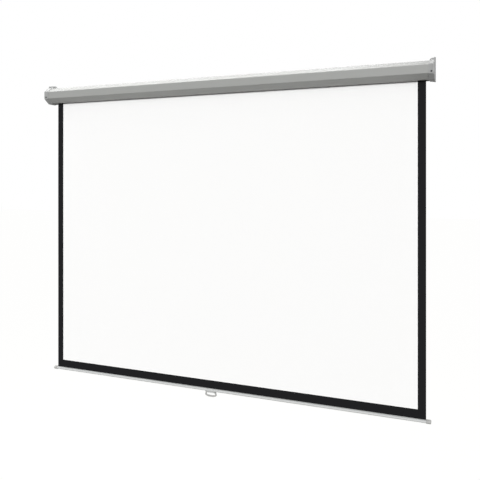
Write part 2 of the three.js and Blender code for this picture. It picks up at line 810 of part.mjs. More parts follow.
const eyeInside = clipLength / 2 + eyeClearance;
function makeHandlePin() {
  const head = eyeInside + eyeLength + eyeClearance;
  return turned([
    [0, -head - handlePinHead], [handlePinHeadRadius, -head - handlePinHead],
    [handlePinHeadRadius, -head], [handlePinRadius, -head], [handlePinRadius, head],
    [handlePinHeadRadius, head], [handlePinHeadRadius, head + handlePinHead],
    [0, head + handlePinHead]], fabricY, pivotZ, pinSides).translate(-handleOffset, 0, 0);
}

// Pull handle: a stirrup whose legs spread below the pin, with a curved grip, eased edges and an eye
// on each leg
function makePullHandle() {
  const eyeOutside = eyeInside + eyeLength;
  const outerHeight = handleDrop - handleShoulderDrop - handleBevel;
  const outerHalf = handleHalfWidth - handleBevel;
  const innerHalf = handleHalfWidth - handleBand + handleBevel;
  const innerHeight = outerHeight - handleBand + 2 * handleBevel;
  const arch = (halfWidth, halfHeight) => Array.from({ length: handleArcSteps + 1 }, (_, i) => {
    const angle = Math.PI * (1 - i / handleArcSteps);
    const across = Math.sign(Math.cos(angle)) * Math.abs(Math.cos(angle)) ** handleArchShare;
    const down = Math.abs(Math.sin(angle)) ** handleArchShare;
    return new THREE.Vector2(halfWidth * across, -handleShoulderDrop - halfHeight * down);
  });
  const outline = new THREE.Shape().setFromPoints([
    new THREE.Vector2(-eyeOutside + handleBevel, 0), ...arch(outerHalf, outerHeight),
    new THREE.Vector2(eyeOutside - handleBevel, 0), new THREE.Vector2(eyeInside + handleBevel, 0),
    ...arch(innerHalf, innerHeight).reverse(), new THREE.Vector2(-eyeInside - handleBevel, 0)]);
  const loop = new THREE.ExtrudeGeometry(outline, {
    depth: handleThickness - 2 * handleBevel, bevelEnabled: true, bevelThickness: handleBevel,
    bevelSize: handleBevel, bevelSegments: bevelSteps });
  loop.rotateX(Math.PI / 2).translate(-handleOffset, fabricY + handleThickness / 2 - handleBevel, pivotZ);
  const eyes = [-eyeOutside, eyeInside].map((x) => rod(
    fabricY, pivotZ, eyeRadius, x - handleOffset, x + eyeLength - handleOffset));
  const bore = rod(fabricY, pivotZ, handlePinRadius + pinGap,
    -handleOffset - eyeOutside - cutOverrun, -handleOffset + eyeOutside + cutOverrun, pinSides);
  const headRoom = [-eyeOutside - handleHalfWidth, eyeOutside].map((x) => rod(
    fabricY, pivotZ, handlePinHeadRadius + runningGap, x - handleOffset,
    x + handleHalfWidth - handleOffset));
  return joinAndCut([loop, ...eyes], [bore, ...headRoom]);
}

// Case and end caps
addPiece('case_shell', makeCaseShell(), paintedSteel);
const endCap = makeEndCap();
addPiece('right_end_cap', endCap, capPlastic);
addPiece('left_end_cap', mirrored(endCap), capPlastic);
const capScrew = makeScrew(capScrewLength).rotateZ(Math.PI / 2).translate(
  capOutside - capScrewFromEnd, -caseDepth - capClearance - skirtWall - seatGap, capScrewHeight);
addPiece('right_cap_screw', capScrew, zincSteel);
addPiece('left_cap_screw', mirrored(capScrew), zincSteel);

// Brackets and their screws
const slot = new THREE.Path().setFromPoints(tonguePoints(pinGap));
addPiece('spring_bracket', mirrored(makeBracket(slot)), zincSteel);
const bushSeat = spindleRadius + pinGap + seatGap + bushWall + pinGap;
const bushHole = new THREE.Path().setFromPoints(circle(rollerY, 0, bushSeat, rodSides));
addPiece('idler_bracket', makeBracket(bushHole), zincSteel);
['upper', 'lower'].forEach((level, i) => {
  const bracketScrew = makeScrew(bracketScrewLength)
    .translate(bracketFace - seatGap, rollerY, postPlaces()[i]);
  addPiece(`idler_bracket_screw_${level}`, bracketScrew, zincSteel);
  addPiece(`spring_bracket_screw_${level}`, mirrored(bracketScrew), zincSteel);
});

// Spring end
addPiece('spindle', makeSpindle(), zincSteel);
addPiece('spindle_circlip', makeCirclip(), springSteel);
addPiece('ratchet_wheel', makeRatchet(), dieCast);
addPiece('spring_hub', makeSpringHub(), nylon);
addPiece('ratchet_ferrule', makeFerrule(), dieCast);
['upper', 'lower'].forEach((level, i) => {
  addPiece(`${level}_pawl`, makePawl(pawlNoseDegrees[i], pawlPivots()[i]), zincSteel);
  addPiece(`${level}_pawl_pin`, makePawlPin(pawlPivots()[i]), zincSteel);
});
addPiece('counterbalance_spring', makeSpring(), springSteel);
addPiece('spring_anchor', makeSpringAnchor(), nylon);

// Roller and idler end
addPiece('roller_tube', makeRollerTube(), tubeSteel);
addPiece('wound_fabric', makeWoundFabric(), whiteFabric);
addPiece('idler_plug', makeIdlerPlug(), nylon);
addPiece('idler_pin', rod(
  rollerY, 0, spindleRadius, tubeEnd - idlerPinInset, postFace + idlerPinEnd), zincSteel);
addPiece('idler_bush', makeBush(), nylon);

// Fabric, bar and handle
addPiece('screen_fabric', makeScreenFabric(), whiteFabric);
addPiece('fabric_hem', makeFabricHem(), blackFabric);
addPiece('hem_rod', rod(
  fabricY, hemRodZ, hemRodRadius, -fabricHalf + hemRodInset, fabricHalf - hemRodInset), zincSteel);
addPiece('bottom_bar', makeBottomBar(), barPaint);
const barCap = makeBarCap();
addPiece('right_bar_cap', barCap, handlePlastic);
addPiece('left_bar_cap', mirrored(barCap), handlePlastic);
addPiece('handle_clip', makeHandleClip(), handlePlastic);
addPiece('handle_pin', makeHandlePin(), zincSteel);
addPiece('pull_handle', makePullHandle(), handlePlastic);

export default screen;
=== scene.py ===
"""Dresses a pull-down projection screen: folded case, moulded end caps, fabric, bottom bar and pull handle.

Metres. X runs along the screen, Z is up, and the wall is the plane Y = 0 behind the case.
"""

import functools
import math

import bmesh
import bpy
from bpy.props import FloatProperty, FloatVectorProperty, PointerProperty
from mathutils import Matrix, Vector


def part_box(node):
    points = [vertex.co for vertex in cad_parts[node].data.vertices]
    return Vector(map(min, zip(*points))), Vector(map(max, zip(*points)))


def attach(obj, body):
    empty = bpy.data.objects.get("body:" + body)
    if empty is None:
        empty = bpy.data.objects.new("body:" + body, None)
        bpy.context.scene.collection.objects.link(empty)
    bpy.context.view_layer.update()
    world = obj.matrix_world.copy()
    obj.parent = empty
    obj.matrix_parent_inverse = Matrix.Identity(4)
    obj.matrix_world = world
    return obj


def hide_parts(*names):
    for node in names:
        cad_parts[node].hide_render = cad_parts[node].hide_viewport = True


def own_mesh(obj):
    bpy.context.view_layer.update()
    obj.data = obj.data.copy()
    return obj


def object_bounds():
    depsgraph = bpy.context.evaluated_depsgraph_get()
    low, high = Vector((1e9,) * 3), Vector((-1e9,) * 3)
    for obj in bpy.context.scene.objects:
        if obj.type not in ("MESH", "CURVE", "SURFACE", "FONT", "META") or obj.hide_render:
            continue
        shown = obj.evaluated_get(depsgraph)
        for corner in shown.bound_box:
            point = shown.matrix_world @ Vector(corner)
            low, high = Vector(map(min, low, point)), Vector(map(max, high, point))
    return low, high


bl_info = {
    "name": "Pull-down projection screen",
    "version": (1, 0, 0),
    "blender": (4, 5, 0),
    "location": "3D View > Sidebar > Screen",
    "description": "Models and finishes a spring-roller projection screen round its measured frame",
    "category": "Object",
}

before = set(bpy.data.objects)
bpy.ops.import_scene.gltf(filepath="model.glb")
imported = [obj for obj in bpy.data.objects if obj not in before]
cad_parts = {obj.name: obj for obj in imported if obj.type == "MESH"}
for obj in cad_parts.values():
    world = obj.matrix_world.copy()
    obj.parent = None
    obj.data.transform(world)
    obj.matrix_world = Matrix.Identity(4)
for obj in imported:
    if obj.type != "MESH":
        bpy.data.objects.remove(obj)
cad_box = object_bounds()

# Where the measured pieces lie
CASE_LOW, CASE_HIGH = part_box("case_shell")
CAP_LOW, CAP_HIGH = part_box("right_end_cap")
SCREW_LOW, SCREW_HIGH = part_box("right_cap_screw")
TUBE_LOW, TUBE_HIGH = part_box("roller_tube")
FABRIC_LOW, FABRIC_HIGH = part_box("screen_fabric")
HEM_LOW, HEM_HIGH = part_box("fabric_hem")
ROD_LOW, ROD_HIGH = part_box("hem_rod")
BAR_LOW, BAR_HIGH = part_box("bottom_bar")
BAR_CAP_LOW, BAR_CAP_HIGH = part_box("right_bar_cap")
CLIP_LOW, CLIP_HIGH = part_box("handle_clip")
PIN_LOW, PIN_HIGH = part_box("handle_pin")
LOOP_LOW, LOOP_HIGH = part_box("pull_handle")

FABRIC_SIZE = FABRIC_HIGH - FABRIC_LOW
FABRIC_THICKNESS = FABRIC_HIGH.y - FABRIC_LOW.y
FABRIC_Y = (FABRIC_LOW.y + FABRIC_HIGH.y) / 2
ROLLER_Y = (TUBE_LOW.y + TUBE_HIGH.y) / 2
SCREW_X = (SCREW_LOW.x + SCREW_HIGH.x) / 2
SCREW_Z = (SCREW_LOW.z + SCREW_HIGH.z) / 2
BAR_Z = (BAR_CAP_LOW.z + BAR_CAP_HIGH.z) / 2
BAR_HALF_HEIGHT = BAR_Z - BAR_LOW.z
BAR_HALF_DEPTH = (BAR_HIGH.y - BAR_LOW.y) / 2
PIVOT_Z = (PIN_LOW.z + PIN_HIGH.z) / 2

# How far a cut runs past a surface, how far joined solids overlap, and what counts as one place
OVERRUN = 0.001
JOIN_OVERLAP = 0.0002
NEAR = 1e-7

# How finely curves are cut
FOLD_SEGMENTS = 6
EDGE_SEGMENTS = 3
FLARE_STEPS = 8
OVAL_SEGMENTS = 64
ROUND_SEGMENTS = 48
SMALL_SEGMENTS = 32

# Bends between these angles count as rounded, and a radius this small wears most
SHARP_ANGLE = math.radians(40)
LEAST_BEND = math.radians(3)
WORN_RADIUS = 0.001

# An outline drawn flat stands across the screen, or along it, by these turns
ACROSS = Matrix(((0, 0, 1, 0), (1, 0, 0, 0), (0, 1, 0, 0), (0, 0, 0, 1)))
ALONG = Matrix(((1, 0, 0, 0), (0, 0, -1, 0), (0, 1, 0, 0), (0, 0, 0, 1)))
UNTURNED = Matrix.Identity(4)


def number(name, description, default, **kind):
    """A number that a user can change."""
    return FloatProperty(name=name, description=description, default=default, **kind)


def length(name, description, default):
    """A size that a user can change."""
    return number(name, description, default, min=0, precision=4, subtype="DISTANCE", unit="LENGTH")


def angle(name, description, default, **limits):
    """An angle that a user can change."""
    return number(name, description, default, subtype="ANGLE", unit="ROTATION", **limits)


def colour(name, description, default):
    """A colour that a user can change."""
    return FloatVectorProperty(name=name, description=description, default=default, size=3,
                               min=0, max=1, subtype="COLOR")


class CaseSettings(bpy.types.PropertyGroup):
    """Sizes and paint of the folded steel case"""

    paint: colour("Paint", "Colour of the powder coat", (0.335, 0.34, 0.33))
    sheet: length("Sheet", "Thickness of the folded steel", 0.001)
    fold: length("Fold radius", "Outer radius of each fold", 0.003)
    chamfer_depth: length("Slope depth", "How far each slope runs back", 0.029)
    chamfer_height: length("Slope height", "How far each slope runs up or down", 0.0202)
    slot: length("Slot", "Width of the slot that the fabric hangs through", 0.018)
    lip: length("Lip", "Height of the lips beside the slot", 0.009)


class CapSettings(bpy.types.PropertyGroup):
    """Sizes and plastic of the moulded end caps"""

    plastic: colour("Plastic", "Colour of the caps", (0.33, 0.335, 0.332))
    clearance: length("Clearance", "Gap between the cap and the case", 0.0003)
    plate: length("Plate", "Thickness of the end plate", 0.003)
    skirt: length("Skirt", "How far the skirt reaches over the case", 0.018)
    skirt_wall: length("Skirt wall", "Thickness of the skirt at its edge", 0.002)
    flange: length("Flange", "How far the flange stands out from the case", 0.0044)
    edge: length("Edge radius", "Rounding of the flange's outer edge", 0.001)
    ear_depth: length("Ear depth", "Length of the hanging ear, front to back", 0.046)
    ear_front: length("Ear front", "Height of the ear's front edge above the case", 0.011)
    ear_corner: length("Ear corner", "Radius of the ear's corners", 0.002)
    hole_length: length("Hole length", "Length of the hanging slot", 0.014)
    hole_height: length("Hole height", "Height of the hanging slot", 0.006)
    hole_rise: length("Hole rise", "From the case's top to the middle of the hanging slot", 0.008)


class FabricSettings(bpy.types.PropertyGroup):
    """Colours and print of the screen fabric"""

    white: colour("White", "Matt white front", (0.945, 0.945, 0.942))
    black: colour("Black", "Printed borders and bottom band", (0.0085, 0.0085, 0.0095))
    backing: colour("Backing", "Opaque rear coating", (0.03, 0.03, 0.031))
    border: length("Border", "Width of the black side borders", 0.0315)
    foot: length("Foot", "How far the black print reaches up the sheet from its bottom edge", 0.0024)
    ripple: length("Ripple", "Depth of the soft waves in the hanging sheet", 0.0004)
    flap: length("Flap", "Height of the hem's rear flap above the bar", 0.014)


class BarSettings(bpy.types.PropertyGroup):
    """Sizes and paint of the bottom bar"""

    paint: colour("Paint", "Colour of the bar", (0.57, 0.58, 0.575))
    wall: length("Wall", "Thickness of the bar's wall", 0.001)
    slot: length("Slot", "Width of the slot for the fabric", 0.0016)
    cap_wall: length("Cap wall", "Thickness of the bar cap's wall", 0.0012)
    cap_end: length("Cap end", "Thickness of the bar cap's end", 0.002)


class HandleSettings(bpy.types.PropertyGroup):
    """Sizes and plastic of the pull handle"""

    plastic: colour("Plastic", "Colour of the loop and the bar caps", (0.42, 0.42, 0.41))
    band: length("Band", "Width of the loop's band", 0.007)
    shoulder: length("Shoulder", "From the pin down to where the loop is widest", 0.009)
    edge: length("Edge radius", "Rounding of the loop's edges", 0.0019)
    clip_wall: length("Clip wall", "Thickness of the clip", 0.0013)
    clip_gap: length("Clip gap", "Gap between the clip and the bar", 0.00025)
    pin_radius: length("Pin radius", "Radius of the hinge pin", 0.0015)


class StageSettings(bpy.types.PropertyGroup):
    """Camera, lamps and floor"""

    lens: number("Lens", "Focal length on a 36 mm sensor", 44.80, min=1, subtype="DISTANCE_CAMERA",
                 unit="CAMERA")
    turn: angle("Turn", "How far the camera turns to the left", 0.3941)
    shift: number("Shift", "Vertical shift of the lens", -0.1198)
    key_turn: angle("Key turn", "How far right of the screen's front the key stands", 0.35)
    key_rise: angle("Key rise", "How far up the key stands", 0.12)
    key_spread: angle("Key spread", "How wide the soft key looks", 0.2, min=0)
    key_light: number("Key light", "Strength of the key", 2.6, min=0)
    top_light: number("Top light", "Power of the overhead soft box", 58.0, min=0, subtype="POWER",
                      unit="POWER")
    sky_light: number("Sky light", "Strength of the even sky", 0.45, min=0)
    floor: colour("Floor", "What the floor sends back to the object", (0.08, 0.078, 0.066))
    floor_drop: length("Floor drop", "From the handle down to the floor", 0.9)


# Small mesh helpers

def outward(bm):
    """Points every face outwards."""
    bmesh.ops.recalc_face_normals(bm, faces=bm.faces[:])
    return bm


def drag(bm, made, by):
    """Moves the new corners of an extrusion."""
    bmesh.ops.translate(bm, verts=[g for g in made["geom"] if isinstance(g, bmesh.types.BMVert)], vec=by)


def soften(bm, parts, radius, segments=EDGE_SEGMENTS, affect="EDGES"):
    """Rounds edges, or corners of a flat outline."""
    bmesh.ops.bevel(bm, geom=parts, offset=radius, offset_type="OFFSET", segments=segments,
                    profile=0.5, affect=affect, material=-1)


def round_corner(bm, vert, before, after, radius):
    """Rounds one corner of a flat outline, whose neighbours were at before and after."""
    turn = (vert.co - Vector(before)).angle(Vector(after) - vert.co)
    soften(bm, [vert], radius * math.tan(turn / 2), FOLD_SEGMENTS, "VERTICES")


def rims(bm, at, axis=2):
    """The edges that lie in one plane across an axis, Z unless another is given."""
    return [e for e in bm.edges if all(abs(v.co[axis] - at) < NEAR for v in e.verts)]


def raised(bm, depth, eased):
    """The solid over a flat outline, with both rims eased."""
    drag(bm, bmesh.ops.extrude_face_region(bm, geom=bm.faces[:]), (0, 0, depth))
    outward(bm)
    if eased:
        soften(bm, rims(bm, 0) + rims(bm, depth), eased)
    return bm


def prism(points, depth, rounded=(), radius=0.0, eased=0.0):
    """A solid over an outline of points, some of whose corners are rounded."""
    bm = bmesh.new()
    corners = [(*point, 0) for point in points]
    verts = [bm.verts.new(corner) for corner in corners]
    bm.faces.new(verts)
    for i in rounded:
        round_corner(bm, verts[i], corners[i - 1], corners[(i + 1) % len(corners)], radius)
    return raised(bm, depth, eased)


def oval_prism(half_width, half_height, depth, eased=0.0, segments=OVAL_SEGMENTS):
    """A solid over an oval."""
    bm = bmesh.new()
    bmesh.ops.create_circle(bm, cap_ends=True, segments=segments, radius=1)
    bmesh.ops.scale(bm, vec=(half_width, half_height, 1), verts=bm.verts[:])
    return raised(bm, depth, eased)


def place(bm, turn=UNTURNED, at=(0, 0, 0)):
    """Turns a finished shape and moves it to its place."""
    bm.transform(Matrix.Translation(at) @ turn)
    return bm


def rod(radius, run, at, turn=ACROSS, eased=0.0):
    """A round rod from a place on, along the screen unless it is turned otherwise."""
    return place(oval_prism(radius, radius, run, eased, SMALL_SEGMENTS), turn, at)


def wire(bm, points, closed=False):
    """Corners at points, and the edges from one to the next."""
    verts = [bm.verts.new(point) for point in points]
    return verts, [bm.edges.new(pair) for pair in zip(verts, verts[1:] + verts[:closed])]


def turned(profile):
    """A profile of (radius, height) points, first and last on the axis, spun about Z into a solid."""
    bm = bmesh.new()
    verts, edges = wire(bm, [(radius, 0, height) for radius, height in profile])
    bmesh.ops.spin(bm, geom=verts + edges, cent=(0, 0, 0), axis=(0, 0, 1), angle=math.tau,
                   steps=SMALL_SEGMENTS, use_merge=True)
    bmesh.ops.remove_doubles(bm, verts=bm.verts[:], dist=NEAR)
    return outward(bm)


def folded_sheet(points, low, high, thickness, radius=0.0):
    """A strip of sheet, as long as a box along X, whose profile in (y, z) is folded round a radius.

    The wall is on the profile's right, and where the thickness is negative on its left.
    """
    bm = bmesh.new()
    verts, _ = wire(bm, [(low.x, *point) for point in points])
    corners = [vert.co.copy() for vert in verts]
    if radius:
        for i in range(1, len(corners) - 1):
            round_corner(bm, verts[i], corners[i - 1], corners[i + 1], radius)
    drag(bm, bmesh.ops.extrude_edge_only(bm, edges=bm.edges[:]), (high.x - low.x, 0, 0))
    outward(bm)
    run = corners[1] - corners[0]
    left = Vector((0, -run.z, run.y)) * math.copysign(1, thickness)
    if verts[0].link_faces[0].normal.dot(left) < 0:
        bmesh.ops.reverse_faces(bm, faces=bm.faces[:])
    bmesh.ops.solidify(bm, geom=bm.faces[:], thickness=abs(thickness))
    return outward(bm)


def evenly(start, end, steps):
    """Evenly spaced values from start to end."""
    return [start + (end - start) * step / steps for step in range(steps + 1)]


def arc(middle, half_width, half_height, turns):
    """Points on an oval round a middle, at some angles."""
    return [(middle[0] + half_width * math.cos(turn), middle[1] + half_height * math.sin(turn))
            for turn in turns]


def add_object(name, data):
    """An object in the scene."""
    obj = bpy.data.objects.new(name, data)
    bpy.context.scene.collection.objects.link(obj)
    return obj


def add_mesh(name, bm):
    """An object in the scene, from a finished shape."""
    mesh = bpy.data.meshes.new(name)
    bm.to_mesh(mesh)
    bm.free()
    return add_object(name, mesh)


def join_and_cut(base, joined=(), cut=()):
    """One mesh from solids that are joined to a base solid and cut out of it."""
    solids = [add_mesh("solid", bm) for bm in (base, *joined, *cut)]
    for i, solid in enumerate(solids[1:]):
        modifier = solids[0].modifiers.new("Join or cut", "BOOLEAN")
        modifier.operation = "UNION" if i < len(joined) else "DIFFERENCE"
        modifier.object = solid
        modifier.solver = "EXACT"
    bpy.context.view_layer.update()
    body = solids[0].evaluated_get(bpy.context.evaluated_depsgraph_get())
    mesh = bpy.data.meshes.new_from_object(body)
    for solid in solids:
        bpy.data.objects.remove(solid)
    if not mesh.polygons:
        raise RuntimeError("joining and cutting left nothing")
    bm = bmesh.new()
    bm.from_mesh(mesh)
    bpy.data.meshes.remove(mesh)
    return bm


def mark_bends(bm):
    """Notes at each vertex how tightly the surface bends outwards: one stands for WORN_RADIUS."""
    bend = bm.verts.layers.float.new("bend")
    for edge in bm.edges:
        if not (edge.is_manifold and edge.is_convex and LEAST_BEND < edge.calc_face_angle() < SHARP_ANGLE):
            continue
        width = sum(face.calc_area() for face in edge.link_faces) / (2 * edge.calc_length())
        for vert in edge.verts:
            vert[bend] = max(vert[bend], min(edge.calc_face_angle() * WORN_RADIUS / width, 1))


def piece(name, bm, body, slot, replaced, *materials):
    """A named piece in place of a measured one, riding on a body, smooth with crisp corners."""
    if not bm.faces:
        raise RuntimeError(f"{name} has no faces")
    mark_bends(bm)
    obj = add_mesh(name, bm)
    obj.data.shade_smooth()
    obj.data.set_sharp_from_angle(angle=SHARP_ANGLE)
    for material in materials:
        obj.data.materials.append(material)
    normals = obj.modifiers.new("Flat faces stay flat", "WEIGHTED_NORMAL")
    normals.keep_sharp = True
    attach(obj, body)
    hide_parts(replaced)
    return obj


def both_ends(name, bm, body, slot, replaced, material, ends=("right", "left")):
    """A piece at one end of the screen, and its mirror copy at the other."""
    copy = bm.copy()
    bmesh.ops.scale(copy, vec=(-1, 1, 1), verts=copy.verts[:])
    bmesh.ops.reverse_faces(copy, faces=copy.faces[:])
    for end, made in zip(ends, (bm, copy)):
        piece(name.format(end), made, body, slot, replaced.format(end), material)


def map_cloth(obj):
    """Gives a sheet a UV map of one unit a metre, across and down the cloth."""
    layer = obj.data.uv_layers.new(name="cloth")
    for loop in obj.data.loops:
        co = obj.data.vertices[loop.vertex_index].co
        layer.data[loop.index].uv = (co.x, co.z)
    return obj


# Case

def mitred(path, distance):
    """An open path moved to its left by a distance, corners and all."""
    points = [Vector(point) for point in path]
    runs = [(b - a).normalized() for a, b in zip(points, points[1:])]
    sides = [Vector((-run.y, run.x)) for run in runs]
    moved = []
    for i, point in enumerate(points):
        before, after = sides[max(i - 1, 0)], sides[min(i, len(sides) - 1)]
        moved.append(point + (before + after) * distance / (1 + before.dot(after)))
    return moved


def case_outline(settings, rear=0.0):
    """The case's outside in (y, z), from the rear bottom edge round the front to the rear top edge."""
    front, bottom, top = CASE_LOW.y, CASE_LOW.z, CASE_HIGH.z
    return [(rear, bottom), (front + settings.chamfer_depth, bottom),
            (front, bottom + settings.chamfer_height), (front, top - settings.chamfer_height),
            (front + settings.chamfer_depth, top), (rear, top)]


def make_case(context):
    """The folded case: one sheet from the front lip of the slot, round the outside, to the rear lip."""
    settings = context.scene.screen_case
    bottom = CASE_LOW.z
    front, rear = FABRIC_Y - settings.slot / 2, FABRIC_Y + settings.slot / 2
    outline = case_outline(settings)
    path = [(front, bottom + settings.lip), (front, bottom), *outline[1:], outline[0],
            (rear, bottom), (rear, bottom + settings.lip)]
    sheet = folded_sheet(path, CASE_LOW, CASE_HIGH, settings.sheet, settings.fold)
    holes = [rod(SCREW_SHANK + HOLE_PLAY, settings.sheet + 2 * OVERRUN,
                 (x, CASE_LOW.y + settings.sheet + OVERRUN, SCREW_Z), ALONG) for x in (-SCREW_X, SCREW_X)]
    piece("case_sheet", join_and_cut(sheet, cut=holes), "case", "painted_steel", "case_shell",
          powder_coat(settings.paint))


# End caps

SMALL_EDGE = 0.0005
SKIRT_OVERRUN = 0.016
RIM_DEPTH = 0.010
RIM_WALL = 0.0016
RIM_FROM_SLOT = 0.004
RIM_FROM_REAR = 0.003
RIB_HEIGHT = 0.004
RIBS = 6
ROLLER_ROOM = 0.009
GUSSET_RUN = 0.016
GUSSET_WALL = 0.003
GUSSET_DROP = 0.0015
EAR_EDGE = 0.0006
FULL_ROUND = 0.999
POST_RADIUS = 0.0045
POST_LENGTH = 0.0049
POST_SPACING = 0.046
SPOT_FACE_RADIUS = 0.0044


def outline_loop(bm, case, x, grow):
    """A closed loop of edges round the case at X, grown outwards, with its front corners rounded."""
    path = [(x, *point) for point in mitred(case_outline(case, SKIRT_OVERRUN), grow)]
    known = set(bm.edges)
    verts, _ = wire(bm, path, closed=True)
    for i in range(1, len(path) - 1):
        round_corner(bm, verts[i], path[i - 1], path[i + 1], case.fold + grow)
    return [edge for edge in bm.edges if edge not in known]


def cap_skirt(case, cap):
    """The skirt over the case's end, which flares out to the flange, cut off at the wall."""
    bm = bmesh.new()
    start = CAP_HIGH.x - cap.plate - cap.skirt
    reach = cap.skirt + JOIN_OVERLAP
    outside = cap.clearance + cap.skirt_wall
    flare = cap.flange - cap.skirt_wall - JOIN_OVERLAP
    loops = [outline_loop(bm, case, start + reach * share, outside + flare * share ** 2)
             for share in evenly(0, 1, FLARE_STEPS)]
    loops += [outline_loop(bm, case, x, cap.clearance) for x in (start + reach, start)]
    for one, other in zip(loops, loops[1:] + loops[:1]):
        bmesh.ops.bridge_loops(bm, edges=one + other)
    outward(bm)
    soften(bm, [e for e in rims(bm, start, axis=0) if e.calc_face_angle() > SHARP_ANGLE], SMALL_EDGE)
    bmesh.ops.bisect_plane(bm, geom=bm.verts[:] + bm.edges[:] + bm.faces[:], plane_co=(0, 0, 0),
                           plane_no=(0, 1, 0), clear_outer=True)
    bmesh.ops.holes_fill(bm, edges=[e for e in bm.edges if e.is_boundary])
    return outward(bm)


def cap_flange(case, cap):
    """The end plate, whose edge stands out round the case as a flange."""
    outline = mitred(case_outline(case), cap.clearance + cap.flange)
    bm = prism(outline, cap.plate, range(1, len(outline) - 1), case.fold + cap.clearance + cap.flange)
    outer = [e for e in rims(bm, cap.plate) if any(abs(v.co.x) > OVERRUN for v in e.verts)]
    soften(bm, outer, cap.edge)
    return place(bm, ACROSS, (CAP_HIGH.x - cap.plate, 0, 0))


def cap_ear(cap):
    """The hanging ear: a plate above the case, whose top rises towards the wall."""
    foot = CASE_HIGH.z - RIM_WALL
    outline = [(0, foot), (0, CAP_HIGH.z), (-cap.ear_depth, CASE_HIGH.z + cap.ear_front),
               (-cap.ear_depth, foot)]
    return place(prism(outline, cap.plate, (1, 2), cap.ear_corner, EAR_EDGE), ACROSS,
                 (CAP_HIGH.x - cap.plate, 0, 0))


def cap_hole(cap):
    """The oval slot through the ear, cut by a longer prism."""
    half_length, half_height = cap.hole_length / 2, cap.hole_height / 2
    middle = (-cap.ear_depth / 2, CASE_HIGH.z + cap.hole_rise)
    corners = [(middle[0] + y * half_length, middle[1] + z * half_height)
               for y, z in ((-1, -1), (1, -1), (1, 1), (-1, 1))]
    return place(prism(corners, cap.plate + 2 * OVERRUN, range(4), half_height * FULL_ROUND), ACROSS,
                 (CAP_HIGH.x - cap.plate - OVERRUN, 0, 0))


def cap_gussets(cap):
    """Two webs with a round shoulder that brace the ear against the skirt."""
    inside = CAP_HIGH.x - cap.plate
    foot = CASE_HIGH.z + cap.clearance + cap.skirt_wall / 2
    webs = []
    for y, top in ((GUSSET_WALL + JOIN_OVERLAP - cap.ear_depth, CASE_HIGH.z + cap.ear_front),
                   (-JOIN_OVERLAP, CAP_HIGH.z)):
        rise = top - GUSSET_DROP - foot
        shoulder = arc((inside, foot), GUSSET_RUN, rise, evenly(math.pi / 2, math.pi, 2 * FOLD_SEGMENTS))
        outline = [(inside + JOIN_OVERLAP, foot), (inside + JOIN_OVERLAP, foot + rise), *shoulder[1:]]
        webs.append(place(prism(outline, GUSSET_WALL, eased=SMALL_EDGE / 2), ALONG, (0, y, 0)))
    return webs


def post_rods(radius, x, run):
    """Two rods, above and below the roller's axis, where the bracket's screws go."""
    return [rod(radius, run, (x, ROLLER_Y, side * POST_SPACING / 2)) for side in (-1, 1)]


def cap_inside(case, cap):
    """The rim that fits in the case, the ribs, and the posts that carry the roller's bracket."""
    inside = CAP_HIGH.x - cap.plate
    inset = case.sheet + cap.clearance
    outline = case_outline(case)
    outline[0] = (FABRIC_Y - case.slot / 2 - RIM_FROM_SLOT, outline[0][1])
    outline[-1] = (-RIM_FROM_REAR, outline[-1][1])
    band = mitred(outline, -inset) + mitred(outline, -inset - RIM_WALL)[::-1]
    rim = place(prism(band, RIM_DEPTH + JOIN_OVERLAP), ACROSS, (inside - RIM_DEPTH, 0, 0))
    half = RIM_WALL / 2
    reach = CASE_HIGH.z - inset - half
    ribs = []
    for i in range(RIBS):
        turn = Matrix.Rotation(math.pi / 2 + i * math.tau / RIBS, 4, "X")
        rib = prism([(0, -half), (reach, -half), (reach, half), (0, half)], RIB_HEIGHT + JOIN_OVERLAP)
        ribs.append(place(rib, turn @ ACROSS, (inside - RIB_HEIGHT, ROLLER_Y, 0)))
    return [rim, *ribs, *post_rods(POST_RADIUS, inside - POST_LENGTH, POST_LENGTH + JOIN_OVERLAP)]


def cap_holes(cap):
    """Room for the roller's end, the screw's hole and its spot face, and pilots in the posts."""
    inside = CAP_HIGH.x - cap.plate
    seat = CASE_LOW.y - cap.clearance - cap.skirt_wall
    front = CAP_LOW.y - OVERRUN
    depth = CASE_LOW.y + cap.plate + RIM_WALL + OVERRUN - front
    return [rod(ROLLER_ROOM, RIB_HEIGHT + OVERRUN, (inside - RIB_HEIGHT - OVERRUN, ROLLER_Y, 0)),
            rod(SCREW_SHANK + HOLE_PLAY, depth, (SCREW_X, front + depth, SCREW_Z), ALONG),
            rod(SPOT_FACE_RADIUS, seat - front, (SCREW_X, seat, SCREW_Z), ALONG),
            *post_rods(SCREW_SHANK, inside - POST_LENGTH - OVERRUN, POST_LENGTH + OVERRUN)]


def make_end_caps(context):
    """Both moulded caps, the left one a mirror copy."""
    case, cap = context.scene.screen_case, context.scene.screen_cap
    right = join_and_cut(cap_flange(case, cap),
                         [cap_skirt(case, cap), cap_ear(cap), *cap_gussets(cap), *cap_inside(case, cap)],
                         [cap_hole(cap), *cap_holes(cap)])
    both_ends("{}_cap_moulding", right, "case", "cap_plastic", "{}_end_cap",
              moulded_plastic("cap_moulding", cap.plastic))


# Screws

SCREW_SHANK = 0.0017
HOLE_PLAY = 0.0001
SCREW_HEAD_RADIUS = 0.0034
SCREW_HEAD = 0.002
SCREW_PITCH = 0.0012
SCREW_ROOT = 0.0014
SCREW_CORE = 0.0009
SCREW_TIP = 0.002
# Shares of the head's radius and height
PAN_CURVE = ((0, 1), (0.55, 0.97), (0.82, 0.8), (0.97, 0.5), (1, 0.2), (1, 0))
CROSS_REACH = 0.55
CROSS_HALF_WIDTH = 0.13
CROSS_DEPTH = 0.8
CROSS_TAPER = 0.55
CROSS_OVERRUN = 0.0001


